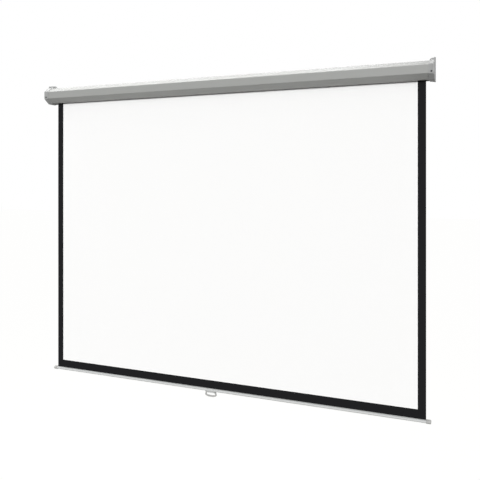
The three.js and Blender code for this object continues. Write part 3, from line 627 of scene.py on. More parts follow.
def pan_screw(run):
    """A pan head screw with a cross recess, its seat at height zero and its tip up."""
    head = [(SCREW_HEAD_RADIUS * out, -SCREW_HEAD * up) for out, up in PAN_CURVE] + [(SCREW_SHANK, 0)]
    thread = []
    for turn in range(int((run - SCREW_TIP) / SCREW_PITCH)):
        height = (turn + 0.5) * SCREW_PITCH
        thread += [(SCREW_ROOT, height - SCREW_PITCH / 4), (SCREW_SHANK, height),
                   (SCREW_ROOT, height + SCREW_PITCH / 4)]
    bm = turned([*head, *thread, (SCREW_CORE, run), (0, run)])
    arm, half = SCREW_HEAD_RADIUS * CROSS_REACH, SCREW_HEAD_RADIUS * CROSS_HALF_WIDTH
    cross = [(half, half), (half, arm), (-half, arm), (-half, half), (-arm, half), (-arm, -half),
             (-half, -half), (-half, -arm), (half, -arm), (half, -half), (arm, -half), (arm, half)]
    recess = prism(cross, SCREW_HEAD * CROSS_DEPTH)
    bottom = [vert for vert in recess.verts if vert.co.z > NEAR]
    bmesh.ops.scale(recess, vec=(CROSS_TAPER, CROSS_TAPER, 1), verts=bottom)
    return join_and_cut(bm, cut=[place(recess, at=(0, 0, -SCREW_HEAD - CROSS_OVERRUN))])


def make_screws(context):
    """The two cap screws and the four bracket screws."""
    seat = SCREW_LOW.y + SCREW_HEAD
    facing_front = Matrix.Rotation(-math.pi / 2, 4, "X")
    screw = place(pan_screw(SCREW_HIGH.y - seat), facing_front, (SCREW_X, seat, SCREW_Z))
    # The cap screws' dark steel is painted shade of the recess they sit in.
    both_ends("{}_cap_pan_screw", screw, "case", "zinc_steel", "{}_cap_screw", blackened_steel())
    for level in ("upper", "lower"):
        low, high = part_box(f"idler_bracket_screw_{level}")
        seat = low.x + SCREW_HEAD
        screw = place(pan_screw(high.x - seat), ACROSS, (seat, ROLLER_Y, (low.z + high.z) / 2))
        both_ends(f"{{}}_{level}_pan_screw", screw, "case", "zinc_steel", f"{{}}_bracket_screw_{level}",
                  zinc_plate(), ends=("idler", "spring"))


# Fabric

FABRIC_CELL = 0.012
RIPPLE_TOP = 0.05
RIPPLE_FOOT = 0.38
# Depth, radians a metre, start, and how far each wave leans on its way down
RIPPLES = ((0.45, 9.5, 0.6, 0.0), (0.3, 4.2, -1.1, 1.5))
EDGE_STEEPNESS = 8
FACING_FRONT = -0.5
WOUND_TURNS = 2
WOUND_PITCH = 0.00045
WOUND_CLEARANCE = 0.00015
HEM_LAP = 0.002
HEM_LAP_GAP = 0.00005


def ripple(x, z):
    """The soft wave of the hanging sheet at a place, from -1 to 1, flat at its top and above the bar."""
    top, foot = FABRIC_HIGH.z - RIPPLE_TOP, FABRIC_LOW.z + RIPPLE_FOOT
    drop = (top - z) / (top - foot)
    hold = math.sin(math.pi * min(max(drop, 0), 1)) ** 2
    edge = (abs(x) / FABRIC_HIGH.x) ** EDGE_STEEPNESS
    wave = sum(depth * math.cos(rate * x + start + lean * drop) for depth, rate, start, lean in RIPPLES)
    return hold * (wave * (1 - edge) - edge)


def make_fabric(context):
    """The hanging sheet: white front with black borders, opaque backing, held flat by the bar's weight."""
    settings, size = context.scene.screen_fabric, FABRIC_SIZE
    bm = bmesh.new()
    bmesh.ops.create_grid(bm, x_segments=round(size.x / FABRIC_CELL), y_segments=round(size.z / FABRIC_CELL),
                          size=0.5)
    bmesh.ops.scale(bm, vec=(size.x, size.z, 1), verts=bm.verts[:])
    place(bm, ALONG, (0, FABRIC_LOW.y, (FABRIC_LOW.z + FABRIC_HIGH.z) / 2))
    for vert in bm.verts:
        vert.co.y += settings.ripple * ripple(vert.co.x, vert.co.z)
    bm.normal_update()
    bmesh.ops.solidify(bm, geom=bm.faces[:], thickness=FABRIC_THICKNESS)
    outward(bm)
    for face in bm.faces:
        face.material_index = int(face.normal.y >= FACING_FRONT)
    sheet = map_cloth(piece("hanging_sheet", bm, "case", "white_fabric", "screen_fabric",
                            screen_face(settings), coated_backing(settings)))
    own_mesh(sheet)


def make_wound_turns(context):
    """The turns of fabric that stay on the roller when the screen is down."""
    inner = (TUBE_HIGH.z - TUBE_LOW.z) / 2 + WOUND_CLEARANCE
    path = []
    for step in range(WOUND_TURNS * ROUND_SEGMENTS + 1):
        turn = math.tau * step / ROUND_SEGMENTS
        radius = inner + WOUND_PITCH * step / ROUND_SEGMENTS
        path.append((ROLLER_Y + radius * math.cos(turn), -radius * math.sin(turn)))
    bm = folded_sheet(path, FABRIC_LOW, FABRIC_HIGH, -FABRIC_THICKNESS)
    turns = map_cloth(piece("wound_turns", bm, "roller", "white_fabric", "wound_fabric",
                            coated_backing(context.scene.screen_fabric)))


def make_hem(context):
    """The black band above the bar, lapped behind the sheet, round its rod and up again as a flap."""
    settings = context.scene.screen_fabric
    middle = Vector(((ROD_LOW.y + ROD_HIGH.y) / 2, (ROD_LOW.z + ROD_HIGH.z) / 2))
    radius = (HEM_HIGH.y - HEM_LOW.y) / 2
    lap = FABRIC_HIGH.y + HEM_LAP_GAP
    top = FABRIC_LOW.z - HEM_LAP_GAP
    front, rear = FABRIC_LOW.y, lap + FABRIC_THICKNESS
    begin = math.pi / 2 + math.asin((middle.x - front) / radius)
    end = 5 * math.pi / 2 - math.asin((rear - middle.x) / radius)
    path = [(lap, FABRIC_LOW.z + HEM_LAP), (lap, top), (front, top - FABRIC_THICKNESS),
            *arc(middle, radius, radius, evenly(begin, end, ROUND_SEGMENTS)),
            (rear, BAR_HIGH.z + settings.flap)]
    bm = folded_sheet(path, FABRIC_LOW, FABRIC_HIGH, -FABRIC_THICKNESS)
    band = map_cloth(piece("hem_band", bm, "bar", "black_fabric", "fabric_hem", printed_black(settings)))


# Bottom bar and its caps

BAR_CAP_EDGE = 0.003


def on_bar(bm, x):
    """Lays a solid along the bar's axis from X on."""
    return place(bm, ACROSS, (x, FABRIC_Y, BAR_Z))


def make_bar(context):
    """The oval bar, hollow and slotted along its top."""
    settings = context.scene.screen_bar
    wall, half, top = settings.wall, settings.slot / 2, BAR_HALF_HEIGHT + OVERRUN
    run = BAR_HIGH.x - BAR_LOW.x
    outside = on_bar(oval_prism(BAR_HALF_DEPTH, BAR_HALF_HEIGHT, run), BAR_LOW.x)
    cuts = [oval_prism(BAR_HALF_DEPTH - wall, BAR_HALF_HEIGHT - wall, run + 2 * OVERRUN),
            prism([(-half, 0), (half, 0), (half, top), (-half, top)], run + 2 * OVERRUN)]
    bar = join_and_cut(outside, cut=[on_bar(cut, BAR_LOW.x - OVERRUN) for cut in cuts])
    piece("bar_extrusion", bar, "bar", "bar_paint", "bottom_bar", bar_enamel(settings.paint))


def make_bar_caps(context):
    """A cup with eased edges over each end of the bar."""
    settings = context.scene.screen_bar
    half_depth = (BAR_CAP_HIGH.y - BAR_CAP_LOW.y) / 2
    half_height = (BAR_CAP_HIGH.z - BAR_CAP_LOW.z) / 2
    run = BAR_CAP_HIGH.x - BAR_CAP_LOW.x
    shell = oval_prism(half_depth, half_height, run)
    soften(shell, rims(shell, run), BAR_CAP_EDGE, FOLD_SEGMENTS)
    soften(shell, rims(shell, 0), SMALL_EDGE / 2)
    hollow = oval_prism(half_depth - settings.cap_wall, half_height - settings.cap_wall,
                        run - settings.cap_end + OVERRUN)
    cup = join_and_cut(on_bar(shell, BAR_CAP_LOW.x), cut=[on_bar(hollow, BAR_CAP_LOW.x - OVERRUN)])
    both_ends("{}_bar_end", cup, "bar", "handle_plastic", "{}_bar_cap",
              moulded_plastic("bar_cap_moulding", context.scene.screen_handle.plastic))


# Pull handle

CLIP_BARREL_RADIUS = 0.003
CLIP_TIP_ROUNDING = 0.4
PIN_GAP = 0.0001
PIN_HEAD_GAP = 0.0003
PIN_HEAD = 0.001
# Shares of the pin head's radius and height
DOME_CURVE = ((0, 0), (0.6, 0.08), (0.9, 0.35), (1, 0.75), (1, 1))
EYE_RADIUS = 0.0034
EYE_LENGTH = 0.0064
EYE_GAP = 0.0004
LOOP_SQUARENESS = 0.8
LOOP_THICKNESS = 0.006


def pivot_rod(radius, x, run, eased=0.0):
    """A rod on the hinge pin's axis from X on."""
    return rod(radius, run, (x, FABRIC_Y, PIVOT_Z), eased=eased)


def make_clip(context):
    """The clip that snaps round the bar's lower half, with a barrel for the hinge pin."""
    settings = context.scene.screen_handle
    run = CLIP_HIGH.x - CLIP_LOW.x
    inner = [half + settings.clip_gap for half in (BAR_HALF_DEPTH, BAR_HALF_HEIGHT)]
    outer = [half + settings.clip_wall for half in inner]
    tip = math.asin((CLIP_HIGH.z - BAR_Z) / outer[1])
    turns = evenly(tip, -math.pi - tip, ROUND_SEGMENTS)
    outline = arc((0, 0), *outer, turns) + arc((0, 0), *inner, turns[::-1])
    tips = (0, ROUND_SEGMENTS, ROUND_SEGMENTS + 1, len(outline) - 1)
    band = prism(outline, run, tips, settings.clip_wall * CLIP_TIP_ROUNDING, SMALL_EDGE / 2)
    barrel = pivot_rod(CLIP_BARREL_RADIUS, CLIP_LOW.x + JOIN_OVERLAP, run - 2 * JOIN_OVERLAP, SMALL_EDGE)
    bore = pivot_rod(settings.pin_radius + PIN_GAP, CLIP_LOW.x - OVERRUN, run + 2 * OVERRUN)
    piece("clip_moulding", join_and_cut(on_bar(band, CLIP_LOW.x), [barrel], [bore]), "bar",
          "handle_plastic", "handle_clip", moulded_plastic("clip_moulding", context.scene.screen_bar.paint))


def make_pin(context):
    """The hinge pin, with a domed head at each end."""
    head = (PIN_HIGH.z - PIN_LOW.z) / 2
    run = PIN_HIGH.x - PIN_LOW.x
    dome = [(head * out, PIN_HEAD * up) for out, up in DOME_CURVE]
    dome.append((context.scene.screen_handle.pin_radius, PIN_HEAD))
    profile = dome + [(radius, run - height) for radius, height in reversed(dome)]
    piece("hinge_pin", place(turned(profile), ACROSS, (PIN_LOW.x, FABRIC_Y, PIVOT_Z)), "bar", "zinc_steel",
          "handle_pin", zinc_plate())


def make_loop(context):
    """The finger loop: a stirrup whose legs spread below the pin, with an eye on each leg."""
    settings = context.scene.screen_handle
    middle = (LOOP_LOW.x + LOOP_HIGH.x) / 2
    half = (LOOP_HIGH.x - LOOP_LOW.x) / 2
    drop = PIVOT_Z - LOOP_LOW.z - settings.shoulder
    eye_in = (CLIP_HIGH.x - CLIP_LOW.x) / 2 + EYE_GAP
    eye_out = eye_in + EYE_LENGTH

    def arch(half_width, depth):
        return [(half_width * math.copysign(abs(math.cos(turn)) ** LOOP_SQUARENESS, math.cos(turn)),
                 -settings.shoulder - depth * abs(math.sin(turn)) ** LOOP_SQUARENESS)
                for turn in evenly(math.pi, 0, SMALL_SEGMENTS)]

    outline = [(-eye_out, 0), *arch(half, drop), (eye_out, 0), (eye_in, 0),
               *reversed(arch(half - settings.band, drop - settings.band)), (-eye_in, 0)]
    band = place(prism(outline, LOOP_THICKNESS, eased=settings.edge), ALONG,
                 (middle, FABRIC_Y + LOOP_THICKNESS / 2, PIVOT_Z))
    eyes = [pivot_rod(EYE_RADIUS, middle + x, EYE_LENGTH, SMALL_EDGE) for x in (-eye_out, eye_in)]
    bores = [pivot_rod(settings.pin_radius + PIN_GAP, middle - eye_out - OVERRUN, 2 * (eye_out + OVERRUN))]
    head = (PIN_HIGH.z - PIN_LOW.z) / 2 + PIN_HEAD_GAP
    bores += [pivot_rod(head, middle + x, half) for x in (-eye_out - half, eye_out)]
    piece("finger_loop", join_and_cut(band, eyes, bores), "handle", "handle_plastic", "pull_handle",
          moulded_plastic("loop_moulding", settings.plastic))


# Materials

SHADER = "Principled BSDF"
SOCKET_KINDS = {"Vector": "NodeSocketVector", "Color": "NodeSocketColor", "Dust": "NodeSocketColor"}
STREAK_SCALE = (2.5, 350.0, 350.0)
STREAK_GLOSS = 0.07
RUBBED_PALER = 0.16
RUBBED_SMOOTHER = 0.15
DUST_ROUGHER = 0.5
WARP_SLUB = (260.0, 4.0, 1.0)
WEFT_SLUB = (4.0, 260.0, 1.0)
THREADS = 2200
WAVE_PER_THREAD = math.tau / 20
CLOTH_GLINT = 0.1
CLOTH_ROUGHNESS = (0.76, 0.84)
WHITE_ROUGHNESS = 0.95
PRINT_ROUGHNESS = 0.75
THREAD_DEPTH = 0.00008
COATING_DEPTH = 0.00005
WHITE_SPREAD = 0.008
BLACK_SPREAD = 0.15
BACKING_SPREAD = 0.12
PRINT_BLEED = 0.0002
PRINT_CREEP = 0.0006
METAL_DEPTH = 0.00001
METAL_GRAINS = 6
METAL_SHINIER = 0.08
METAL_DULLER = 0.1


def feed(tree, node, inputs):
    """Sets a node's inputs to values, or links them where another node's output is given."""
    for socket, given in inputs.items():
        if isinstance(given, bpy.types.NodeSocket):
            tree.links.new(given, node.inputs[socket])
        else:
            node.inputs[socket].default_value = given


def add_node(tree, kind, inputs=None, **settings):
    """A node with its settings and its inputs."""
    node = tree.nodes.new(kind)
    for key, value in settings.items():
        setattr(node, key, value)
    feed(tree, node, inputs or {})
    return node


def calculated(tree, operation, *values):
    """What a Math node makes of its values."""
    return add_node(tree, "ShaderNodeMath", dict(enumerate(values)), operation=operation).outputs[0]


def ranged(tree, source, low=0.0, high=1.0, start=0.3, end=0.7):
    """A value that goes from low to high as its source goes from start to end."""
    return add_node(tree, "ShaderNodeMapRange", {
        "Value": source, "From Min": start, "From Max": end, "To Min": low, "To Max": high}).outputs["Result"]


def mixed(tree, share, one, other, data_type="RGBA"):
    """One colour or value that becomes another as a share goes from zero to one."""
    return add_node(tree, "ShaderNodeMix", {"Factor": share, "A": one, "B": other},
                    data_type=data_type).outputs["Result"]


def tinted(tree, source, paint, spread):
    """A colour that varies round a paint by a spread, with its source."""
    dark = [channel * (1 - spread) for channel in paint]
    light = [min(channel * (1 + spread), 1) for channel in paint]
    return mixed(tree, source, (*dark, 1), (*light, 1))


def noise(tree, vector, scale, detail, roughness=0.5):
    """Soft random patches."""
    return add_node(tree, "ShaderNodeTexNoise", {
        "Vector": vector, "Scale": scale, "Detail": detail, "Roughness": roughness}).outputs["Fac"]


def stretched(tree, vector, scale):
    """A pattern's coordinates, scaled along each axis."""
    return add_node(tree, "ShaderNodeMapping", {"Vector": vector, "Scale": scale}).outputs[0]


def new_group(name, inputs, outputs):
    """An empty node group, what its inputs give inside, and the node that takes its outputs."""
    tree = bpy.data.node_groups.new(name, "ShaderNodeTree")
    for label, default in inputs.items():
        socket = tree.interface.new_socket(name=label, in_out="INPUT",
                                           socket_type=SOCKET_KINDS.get(label, "NodeSocketFloat"))
        if default is not None:
            socket.default_value = default
    for label in outputs:
        tree.interface.new_socket(name=label, in_out="OUTPUT",
                                  socket_type=SOCKET_KINDS.get(label, "NodeSocketFloat"))
    return tree, tree.nodes.new("NodeGroupInput").outputs, tree.nodes.new("NodeGroupOutput")


def surface_grain():
    """Fine surface height, a slow mottle, and streaks along X, for paint, plastic and metal."""
    tree, given, result = new_group(
        "surface_grain", {"Vector": None, "Grain Scale": 900.0, "Mottle Scale": 9.0},
        ["Height", "Mottle", "Streaks"])
    wiped = stretched(tree, given["Vector"], STREAK_SCALE)
    feed(tree, result, {
        "Height": noise(tree, given["Vector"], given["Grain Scale"], detail=2.0, roughness=0.55),
        "Mottle": noise(tree, given["Vector"], given["Mottle Scale"], detail=4.0, roughness=0.6),
        "Streaks": noise(tree, wiped, 1.0, detail=3.0, roughness=0.6)})
    return tree


def edge_wear():
    """Rubbed spots along the bends of a piece, broken into patches."""
    tree, given, result = new_group(
        "edge_wear", {"Vector": None, "Bend": 0.0, "Amount": 0.5, "Patch Scale": 45.0}, ["Mask"])
    patches = noise(tree, given["Vector"], given["Patch Scale"], detail=6.0, roughness=0.7)
    rubbed = calculated(tree, "MULTIPLY", ranged(tree, patches, start=0.42, end=0.6),
                        ranged(tree, given["Bend"], start=0.08, end=0.35))
    feed(tree, result, {"Mask": calculated(tree, "MULTIPLY", rubbed, given["Amount"])})
    return tree


def settled_dust():
    """Dust that settles on faces that look up, in soft patches."""
    tree, given, result = new_group(
        "settled_dust", {"Color": (0.5, 0.5, 0.5, 1), "Dust": (0.42, 0.41, 0.38, 1), "Amount": 0.2,
                         "Mottle": 0.5, "Roughness": 0.5}, ["Color", "Roughness"])
    normal = add_node(tree, "ShaderNodeNewGeometry").outputs["Normal"]
    upwards = add_node(tree, "ShaderNodeSeparateXYZ", {0: normal}).outputs["Z"]
    share = calculated(tree, "MULTIPLY", ranged(tree, upwards, start=0.3, end=1.0),
                       ranged(tree, given["Mottle"], start=0.35, end=0.7))
    strength = calculated(tree, "MULTIPLY", share, given["Amount"])
    feed(tree, result, {
        "Color": mixed(tree, strength, given["Color"], given["Dust"]),
        "Roughness": calculated(tree, "MULTIPLY_ADD", strength, DUST_ROUGHER, given["Roughness"])})
    return tree


def plain_weave():
    """The height of a plain weave on a map of one unit a metre, and how its threads vary."""
    tree, given, result = new_group("plain_weave", {"Vector": None, "Wave Scale": THREADS * WAVE_PER_THREAD},
                                    ["Height", "Slub"])
    at = given["Vector"]
    threads = [add_node(tree, "ShaderNodeTexWave", {"Vector": at, "Scale": given["Wave Scale"],
                                                    "Distortion": 0.6, "Detail": 1.0, "Detail Scale": 0.5},
                        wave_type="BANDS", bands_direction=across).outputs["Fac"] for across in ("X", "Y")]
    slubs = [noise(tree, stretched(tree, at, run), 1.0, detail=3.0) for run in (WARP_SLUB, WEFT_SLUB)]
    feed(tree, result, {"Height": calculated(tree, "MULTIPLY", *threads),
                        "Slub": mixed(tree, 0.5, *slubs, data_type="FLOAT")})
    return tree


def use_group(tree, make, inputs):
    """Places a node group, which is built once, in a material with its own values."""
    group = bpy.data.node_groups.get(make.__name__) or make()
    return add_node(tree, "ShaderNodeGroup", inputs, node_tree=group).outputs


def new_material(name):
    """A material and its nodes."""
    material = bpy.data.materials.new(name)
    material.use_nodes = True
    return material, material.node_tree


def finish(material, colour, roughness, height, depth, **constants):
    """Gives a material's shader what varies, a normal that follows a height, and what is even."""
    tree = material.node_tree
    normal = add_node(tree, "ShaderNodeBump", {"Height": height, "Distance": depth}).outputs["Normal"]
    even = {label.replace("_", " "): value for label, value in constants.items()}
    feed(tree, tree.nodes[SHADER], {"Base Color": colour, "Roughness": roughness, "Normal": normal, **even})
    return material


def made_once(make):
    """Lets a finish that several pieces share be made by the first of them alone."""
    @functools.wraps(make)
    def find(name, *values, **named):
        return bpy.data.materials.get(name) or make(name, *values, **named)
    return find


@made_once
def coated(name, paint, grain_scale, grain_depth, spread, dust, roughness, mottle_scale=9.0, wear=0.5,
           **constants):
    """Paint or plastic: fine grain, slow mottle, wiped streaks, rubbed bends, and dust where it faces up."""
    material, tree = new_material(name)
    at = add_node(tree, "ShaderNodeTexCoord").outputs["Object"]
    bend = add_node(tree, "ShaderNodeAttribute", attribute_name="bend").outputs["Fac"]
    grain = use_group(tree, surface_grain, {"Vector": at, "Grain Scale": grain_scale,
                                            "Mottle Scale": mottle_scale})
    worn = use_group(tree, edge_wear, {"Vector": at, "Bend": bend, "Amount": wear})["Mask"]
    rubbed = [channel + (1 - channel) * RUBBED_PALER for channel in paint]
    streaked = ranged(tree, grain["Streaks"], roughness - STREAK_GLOSS, roughness + STREAK_GLOSS)
    settled = use_group(tree, settled_dust, {
        "Color": mixed(tree, worn, tinted(tree, grain["Mottle"], paint, spread), (*rubbed, 1)),
        "Roughness": calculated(tree, "MULTIPLY_ADD", worn, -RUBBED_SMOOTHER, streaked),
        "Mottle": grain["Mottle"], "Amount": dust})
    return finish(material, settled["Color"], settled["Roughness"], grain["Height"], grain_depth,
                  **constants)


def powder_coat(paint):
    """Satin powder coat with a faint orange peel."""
    return coated("powder_coat", paint, grain_scale=420.0, grain_depth=0.0001, spread=0.03, dust=0.25,
                  roughness=0.45, Specular_IOR_Level=0.3)


def moulded_plastic(name, paint):
    """Moulded plastic with a fine eroded grain."""
    return coated(name, paint, grain_scale=1100.0, grain_depth=0.00008, spread=0.025, dust=0.15,
                  roughness=0.5, mottle_scale=14.0, wear=0.7, Specular_IOR_Level=0.35)


def bar_enamel(paint):
    """Smooth enamel on the extruded bar."""
    return coated("bar_enamel", paint, grain_scale=600.0, grain_depth=0.00005, spread=0.02, dust=0.1,
                  roughness=0.35, wear=0.6)


def natural_nylon():
    """Bare nylon of the bearings and plugs."""
    return coated("natural_nylon", (0.72, 0.69, 0.6), grain_scale=900.0, grain_depth=0.00003, spread=0.02,
                  dust=0.0, roughness=0.45, mottle_scale=30.0)


def woven(tree):
    """The cloth's own map, and the weave on it."""
    cloth = add_node(tree, "ShaderNodeUVMap", uv_map="cloth").outputs["UV"]
    return cloth, use_group(tree, plain_weave, {"Vector": cloth})


def screen_face(settings):
    """Matt white projection surface with a black print along its sides and its bottom edge."""
    material, tree = new_material("projection_face")
    cloth, weave = woven(tree)
    split = add_node(tree, "ShaderNodeSeparateXYZ", {0: cloth}).outputs
    across = calculated(tree, "ABSOLUTE", split["X"])
    crept = calculated(tree, "MULTIPLY_ADD", weave["Slub"], PRINT_CREEP, across)
    edge = FABRIC_HIGH.x - settings.border + PRINT_CREEP / 2
    sides = ranged(tree, crept, start=edge - PRINT_BLEED, end=edge + PRINT_BLEED)
    low = FABRIC_LOW.z + settings.foot
    foot = ranged(tree, split["Y"], low=1, high=0, start=low - PRINT_BLEED, end=low + PRINT_BLEED)
    printed = calculated(tree, "MAXIMUM", sides, foot)
    white = tinted(tree, weave["Slub"], settings.white, WHITE_SPREAD)
    ink = tinted(tree, weave["Slub"], settings.black, BLACK_SPREAD)
    roughness = ranged(tree, printed, WHITE_ROUGHNESS, PRINT_ROUGHNESS, start=0, end=1)
    return finish(material, mixed(tree, printed, white, ink), roughness, weave["Height"], THREAD_DEPTH,
                  Specular_IOR_Level=CLOTH_GLINT)


@made_once
def cloth_material(name, paint, spread, depth):
    """Plain woven cloth of one colour."""
    material, tree = new_material(name)
    _, weave = woven(tree)
    rough = ranged(tree, weave["Slub"], *CLOTH_ROUGHNESS)
    return finish(material, tinted(tree, weave["Slub"], paint, spread), rough, weave["Height"], depth,
                  Specular_IOR_Level=CLOTH_GLINT)


def coated_backing(settings):
    """The opaque coating on the rear of the fabric."""
    return cloth_material("coated_backing", settings.backing, BACKING_SPREAD, COATING_DEPTH)


def printed_black(settings):
    """Black cloth of the bottom band."""
    return cloth_material("printed_black", settings.black, BLACK_SPREAD, THREAD_DEPTH)


@made_once
def metal(name, tint, roughness, spread, streaks=(1, 1, 1), scale=120.0):
    """Bare or plated metal, its gloss and tint varying in streaks or patches."""
    material, tree = new_material(name)
    at = stretched(tree, add_node(tree, "ShaderNodeTexCoord").outputs["Object"], streaks)
    grain = use_group(tree, surface_grain, {"Vector": at, "Grain Scale": scale * METAL_GRAINS,
                                            "Mottle Scale": scale})
    rough = ranged(tree, grain["Mottle"], roughness - METAL_SHINIER, roughness + METAL_DULLER)
    return finish(material, tinted(tree, grain["Mottle"], tint, spread), rough, grain["Height"],
                  METAL_DEPTH, Metallic=1.0)


def zinc_plate():
    """Bright zinc plating with a cloudy passivated film."""
    return metal("zinc_plate", (0.50, 0.51, 0.53), roughness=0.32, spread=0.1)


def blackened_steel():
    """Dark steel of the cap screws: its darkness is painted shade, standing for the shade in the deep recess
    they sit in.
    """
    return metal("blackened_steel", (0.06, 0.06, 0.062), roughness=0.42, spread=0.2)


def oiled_spring_steel():
    """Dark oiled wire of the spring and the circlip."""
    return metal("oiled_spring_steel", (0.13, 0.13, 0.14), roughness=0.38, spread=0.15)


def galvanised_tube():
    """Galvanised steel, drawn along the roller."""
    return metal("galvanised_tube", (0.46, 0.47, 0.48), roughness=0.4, spread=0.12, streaks=(0.05, 1, 1),
                 scale=60.0)


def die_cast_zinc():
    """Dull cast zinc of the ratchet and its ferrule."""
    return metal("die_cast_zinc", (0.36, 0.37, 0.38), roughness=0.5, spread=0.08, scale=300.0)


INNER_FINISHES = {
    "zinc_steel": (zinc_plate, ["spring_bracket", "idler_bracket", "spindle", "upper_pawl", "lower_pawl",
                                "upper_pawl_pin", "lower_pawl_pin", "idler_pin", "hem_rod"]),
    "spring_steel": (oiled_spring_steel, ["spindle_circlip", "counterbalance_spring"]),
    "tube_steel": (galvanised_tube, ["roller_tube"]),
    "die_cast": (die_cast_zinc, ["ratchet_wheel", "ratchet_ferrule"]),
    "nylon": (natural_nylon, ["spring_hub", "spring_anchor", "idler_plug", "idler_bush"]),
}


def finish_inner_parts():
    """Gives the mechanism's own pieces their metal and nylon finishes."""
    for slot, (make, names) in INNER_FINISHES.items():
        material = make()
        for name in names:
            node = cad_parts[name]
            node.data.materials.clear()
            node.data.materials.append(material)


# Stage

CAMERA_PLACE = (1.1062, -2.4301, -0.4304)
SENSOR = 36
FLOOR_SIZE = 60.0
FLOOR_GLOW = 0.95
TOP_PLACE = (-0.9, 0.35, 1.5)
TOP_AIM = (-0.8, 0, 0)
TOP_SIZE = (3.2, 0.5)
WHITE = (1, 1, 1, 1)


def make_camera(context):
    """The camera at the photograph's viewing angle, level, with its lens shifted down."""
    settings = context.scene.screen_stage
    data = bpy.data.cameras.new("view")
    data.sensor_width = SENSOR
    data.lens = settings.lens
    data.shift_y = settings.shift
    camera = add_object("view", data)
    camera.location = CAMERA_PLACE
    camera.rotation_euler = (math.pi / 2, 0, settings.turn)
    context.scene.camera = camera


def add_lamp(name, kind, energy, turn):
    """A lamp that shines along its own -Z once it is turned."""
    data = bpy.data.lights.new(name, kind)
    data.energy = energy
    lamp = add_object(name, data)
    lamp.rotation_euler = turn
    return lamp


def make_lamps(context):
    """A broad key in front, a little to the right, and a soft box above and behind the fabric."""
    settings = context.scene.screen_stage
    key = add_lamp("front_key", "SUN", settings.key_light,
                   (math.pi / 2 - settings.key_rise, 0, settings.key_turn))
    key.data.angle = settings.key_spread
    toward = (Vector(TOP_AIM) - Vector(TOP_PLACE)).to_track_quat("-Z", "Y").to_euler()
    top = add_lamp("overhead_softbox", "AREA", settings.top_light, toward)
    top.location = TOP_PLACE
    top.data.shape = "RECTANGLE"
    top.data.size, top.data.size_y = TOP_SIZE


def pale_background(tree):
    """One where the camera, a mirror or glass looks at the background, and zero elsewhere."""
    path = add_node(tree, "ShaderNodeLightPath").outputs
    seen = calculated(tree, "MAXIMUM", path["Is Camera Ray"], path["Is Glossy Ray"])
    return calculated(tree, "MAXIMUM", seen, path["Is Transmission Ray"])


def make_world(context):
    """An even sky that lights softly and looks white."""
    world = bpy.data.worlds.new("studio")
    context.scene.world = world
    world.use_nodes = True
    tree = world.node_tree
    strength = ranged(tree, pale_background(tree), low=context.scene.screen_stage.sky_light, start=0, end=1)
    feed(tree, tree.nodes["Background"], {"Color": WHITE, "Strength": strength})


def make_floor(context):
    """A matt floor below the screen that looks pale and keeps a soft shadow."""
    settings = context.scene.screen_stage
    bm = bmesh.new()
    bmesh.ops.create_grid(bm, x_segments=1, y_segments=1, size=FLOOR_SIZE / 2)
    floor = add_mesh("floor", place(bm, at=(0, 0, cad_box[0].z - settings.floor_drop)))
    material, tree = new_material("pale_floor")
    tree.nodes.remove(tree.nodes[SHADER])
    matt = add_node(tree, "ShaderNodeBsdfDiffuse", {"Color": (*settings.floor, 1)})
    strength = calculated(tree, "MULTIPLY", pale_background(tree), FLOOR_GLOW)
    glow = add_node(tree, "ShaderNodeEmission", {"Color": WHITE, "Strength": strength})
    both = add_node(tree, "ShaderNodeAddShader", {0: matt.outputs[0], 1: glow.outputs[0]})
    feed(tree, tree.nodes["Material Output"], {"Surface": both.outputs[0]})
    floor.data.materials.append(material)


# Operators and panel

class SCREEN_OT_stage(bpy.types.Operator):
    """Set up the camera, the lamps, the sky and the floor"""

    bl_idname = "screen_model.stage"
    bl_label = "Set the stage"

    def execute(self, context):
        context.scene.view_settings.view_transform = "Standard"
        make_camera(context)
        make_lamps(context)
        make_world(context)
        make_floor(context)
        return {"FINISHED"}


class SCREEN_OT_case(bpy.types.Operator):
    """Fold the steel case"""

    bl_idname = "screen_model.case"
    bl_label = "Fold the case"

    def execute(self, context):
        make_case(context)
        return {"FINISHED"}


class SCREEN_OT_end_caps(bpy.types.Operator):
    """Mould the two end caps with their hanging ears"""

    bl_idname = "screen_model.end_caps"
    bl_label = "Mould the end caps"

    def execute(self, context):
        make_end_caps(context)
        return {"FINISHED"}


class SCREEN_OT_screws(bpy.types.Operator):
    """Make the pan head screws"""

    bl_idname = "screen_model.screws"
    bl_label = "Make the screws"

    def execute(self, context):
        make_screws(context)
        return {"FINISHED"}


class SCREEN_OT_mechanism(bpy.types.Operator):
    """Finish the roller, the spring and the ratchet"""

    bl_idname = "screen_model.mechanism"
    bl_label = "Finish the mechanism"

    def execute(self, context):
        finish_inner_parts()
        return {"FINISHED"}


class SCREEN_OT_fabric(bpy.types.Operator):
    """Hang the fabric, wind its last turns and sew its hem"""

    bl_idname = "screen_model.fabric"
    bl_label = "Hang the fabric"

    def execute(self, context):
        make_fabric(context)
        make_wound_turns(context)
        make_hem(context)
        return {"FINISHED"}


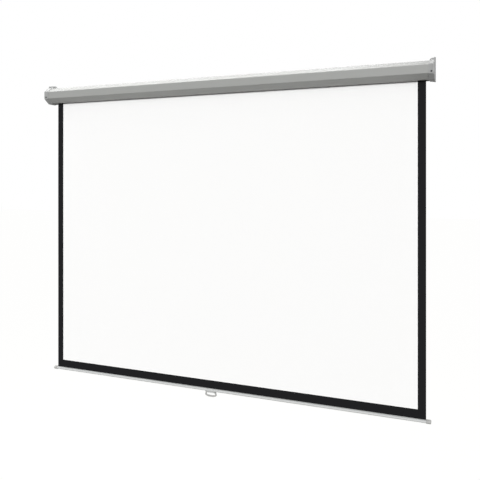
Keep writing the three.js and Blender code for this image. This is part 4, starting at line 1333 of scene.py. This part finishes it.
class SCREEN_OT_bar(bpy.types.Operator):
    """Make the bottom bar and its caps"""

    bl_idname = "screen_model.bar"
    bl_label = "Make the bottom bar"

    def execute(self, context):
        make_bar(context)
        make_bar_caps(context)
        return {"FINISHED"}


class SCREEN_OT_handle(bpy.types.Operator):
    """Make the finger loop, its clip and its pin"""

    bl_idname = "screen_model.handle"
    bl_label = "Make the pull handle"

    def execute(self, context):
        make_clip(context)
        make_pin(context)
        make_loop(context)
        return {"FINISHED"}


OPERATORS = (SCREEN_OT_stage, SCREEN_OT_case, SCREEN_OT_end_caps, SCREEN_OT_screws, SCREEN_OT_mechanism,
             SCREEN_OT_fabric, SCREEN_OT_bar, SCREEN_OT_handle)
SETTINGS = {"screen_case": CaseSettings, "screen_cap": CapSettings, "screen_fabric": FabricSettings,
            "screen_bar": BarSettings, "screen_handle": HandleSettings, "screen_stage": StageSettings}


class SCREEN_PT_panel(bpy.types.Panel):
    """Lists the steps that build the screen, and its sizes and colours"""

    bl_idname = "SCREEN_PT_panel"
    bl_label = "Projection screen"
    bl_space_type = "VIEW_3D"
    bl_region_type = "UI"
    bl_category = "Screen"

    def draw(self, context):
        for operator in OPERATORS:
            self.layout.operator(operator.bl_idname)
        for attribute, group in SETTINGS.items():
            column = self.layout.box().column()
            for name in group.__annotations__:
                column.prop(getattr(context.scene, attribute), name)


def register():
    """Registers the settings, the operators and the panel."""
    for cls in (*SETTINGS.values(), *OPERATORS, SCREEN_PT_panel):
        bpy.utils.register_class(cls)
    for attribute, group in SETTINGS.items():
        setattr(bpy.types.Scene, attribute, PointerProperty(type=group))


def unregister():
    """Takes them away again."""
    for attribute in SETTINGS:
        delattr(bpy.types.Scene, attribute)
    for cls in reversed((*SETTINGS.values(), *OPERATORS, SCREEN_PT_panel)):
        bpy.utils.unregister_class(cls)


def main():
    """Builds everything in order."""
    register()
    for operator in OPERATORS:
        category, name = operator.bl_idname.split(".")
        getattr(getattr(bpy.ops, category), name)()


if __name__ == "__main__":
    main()
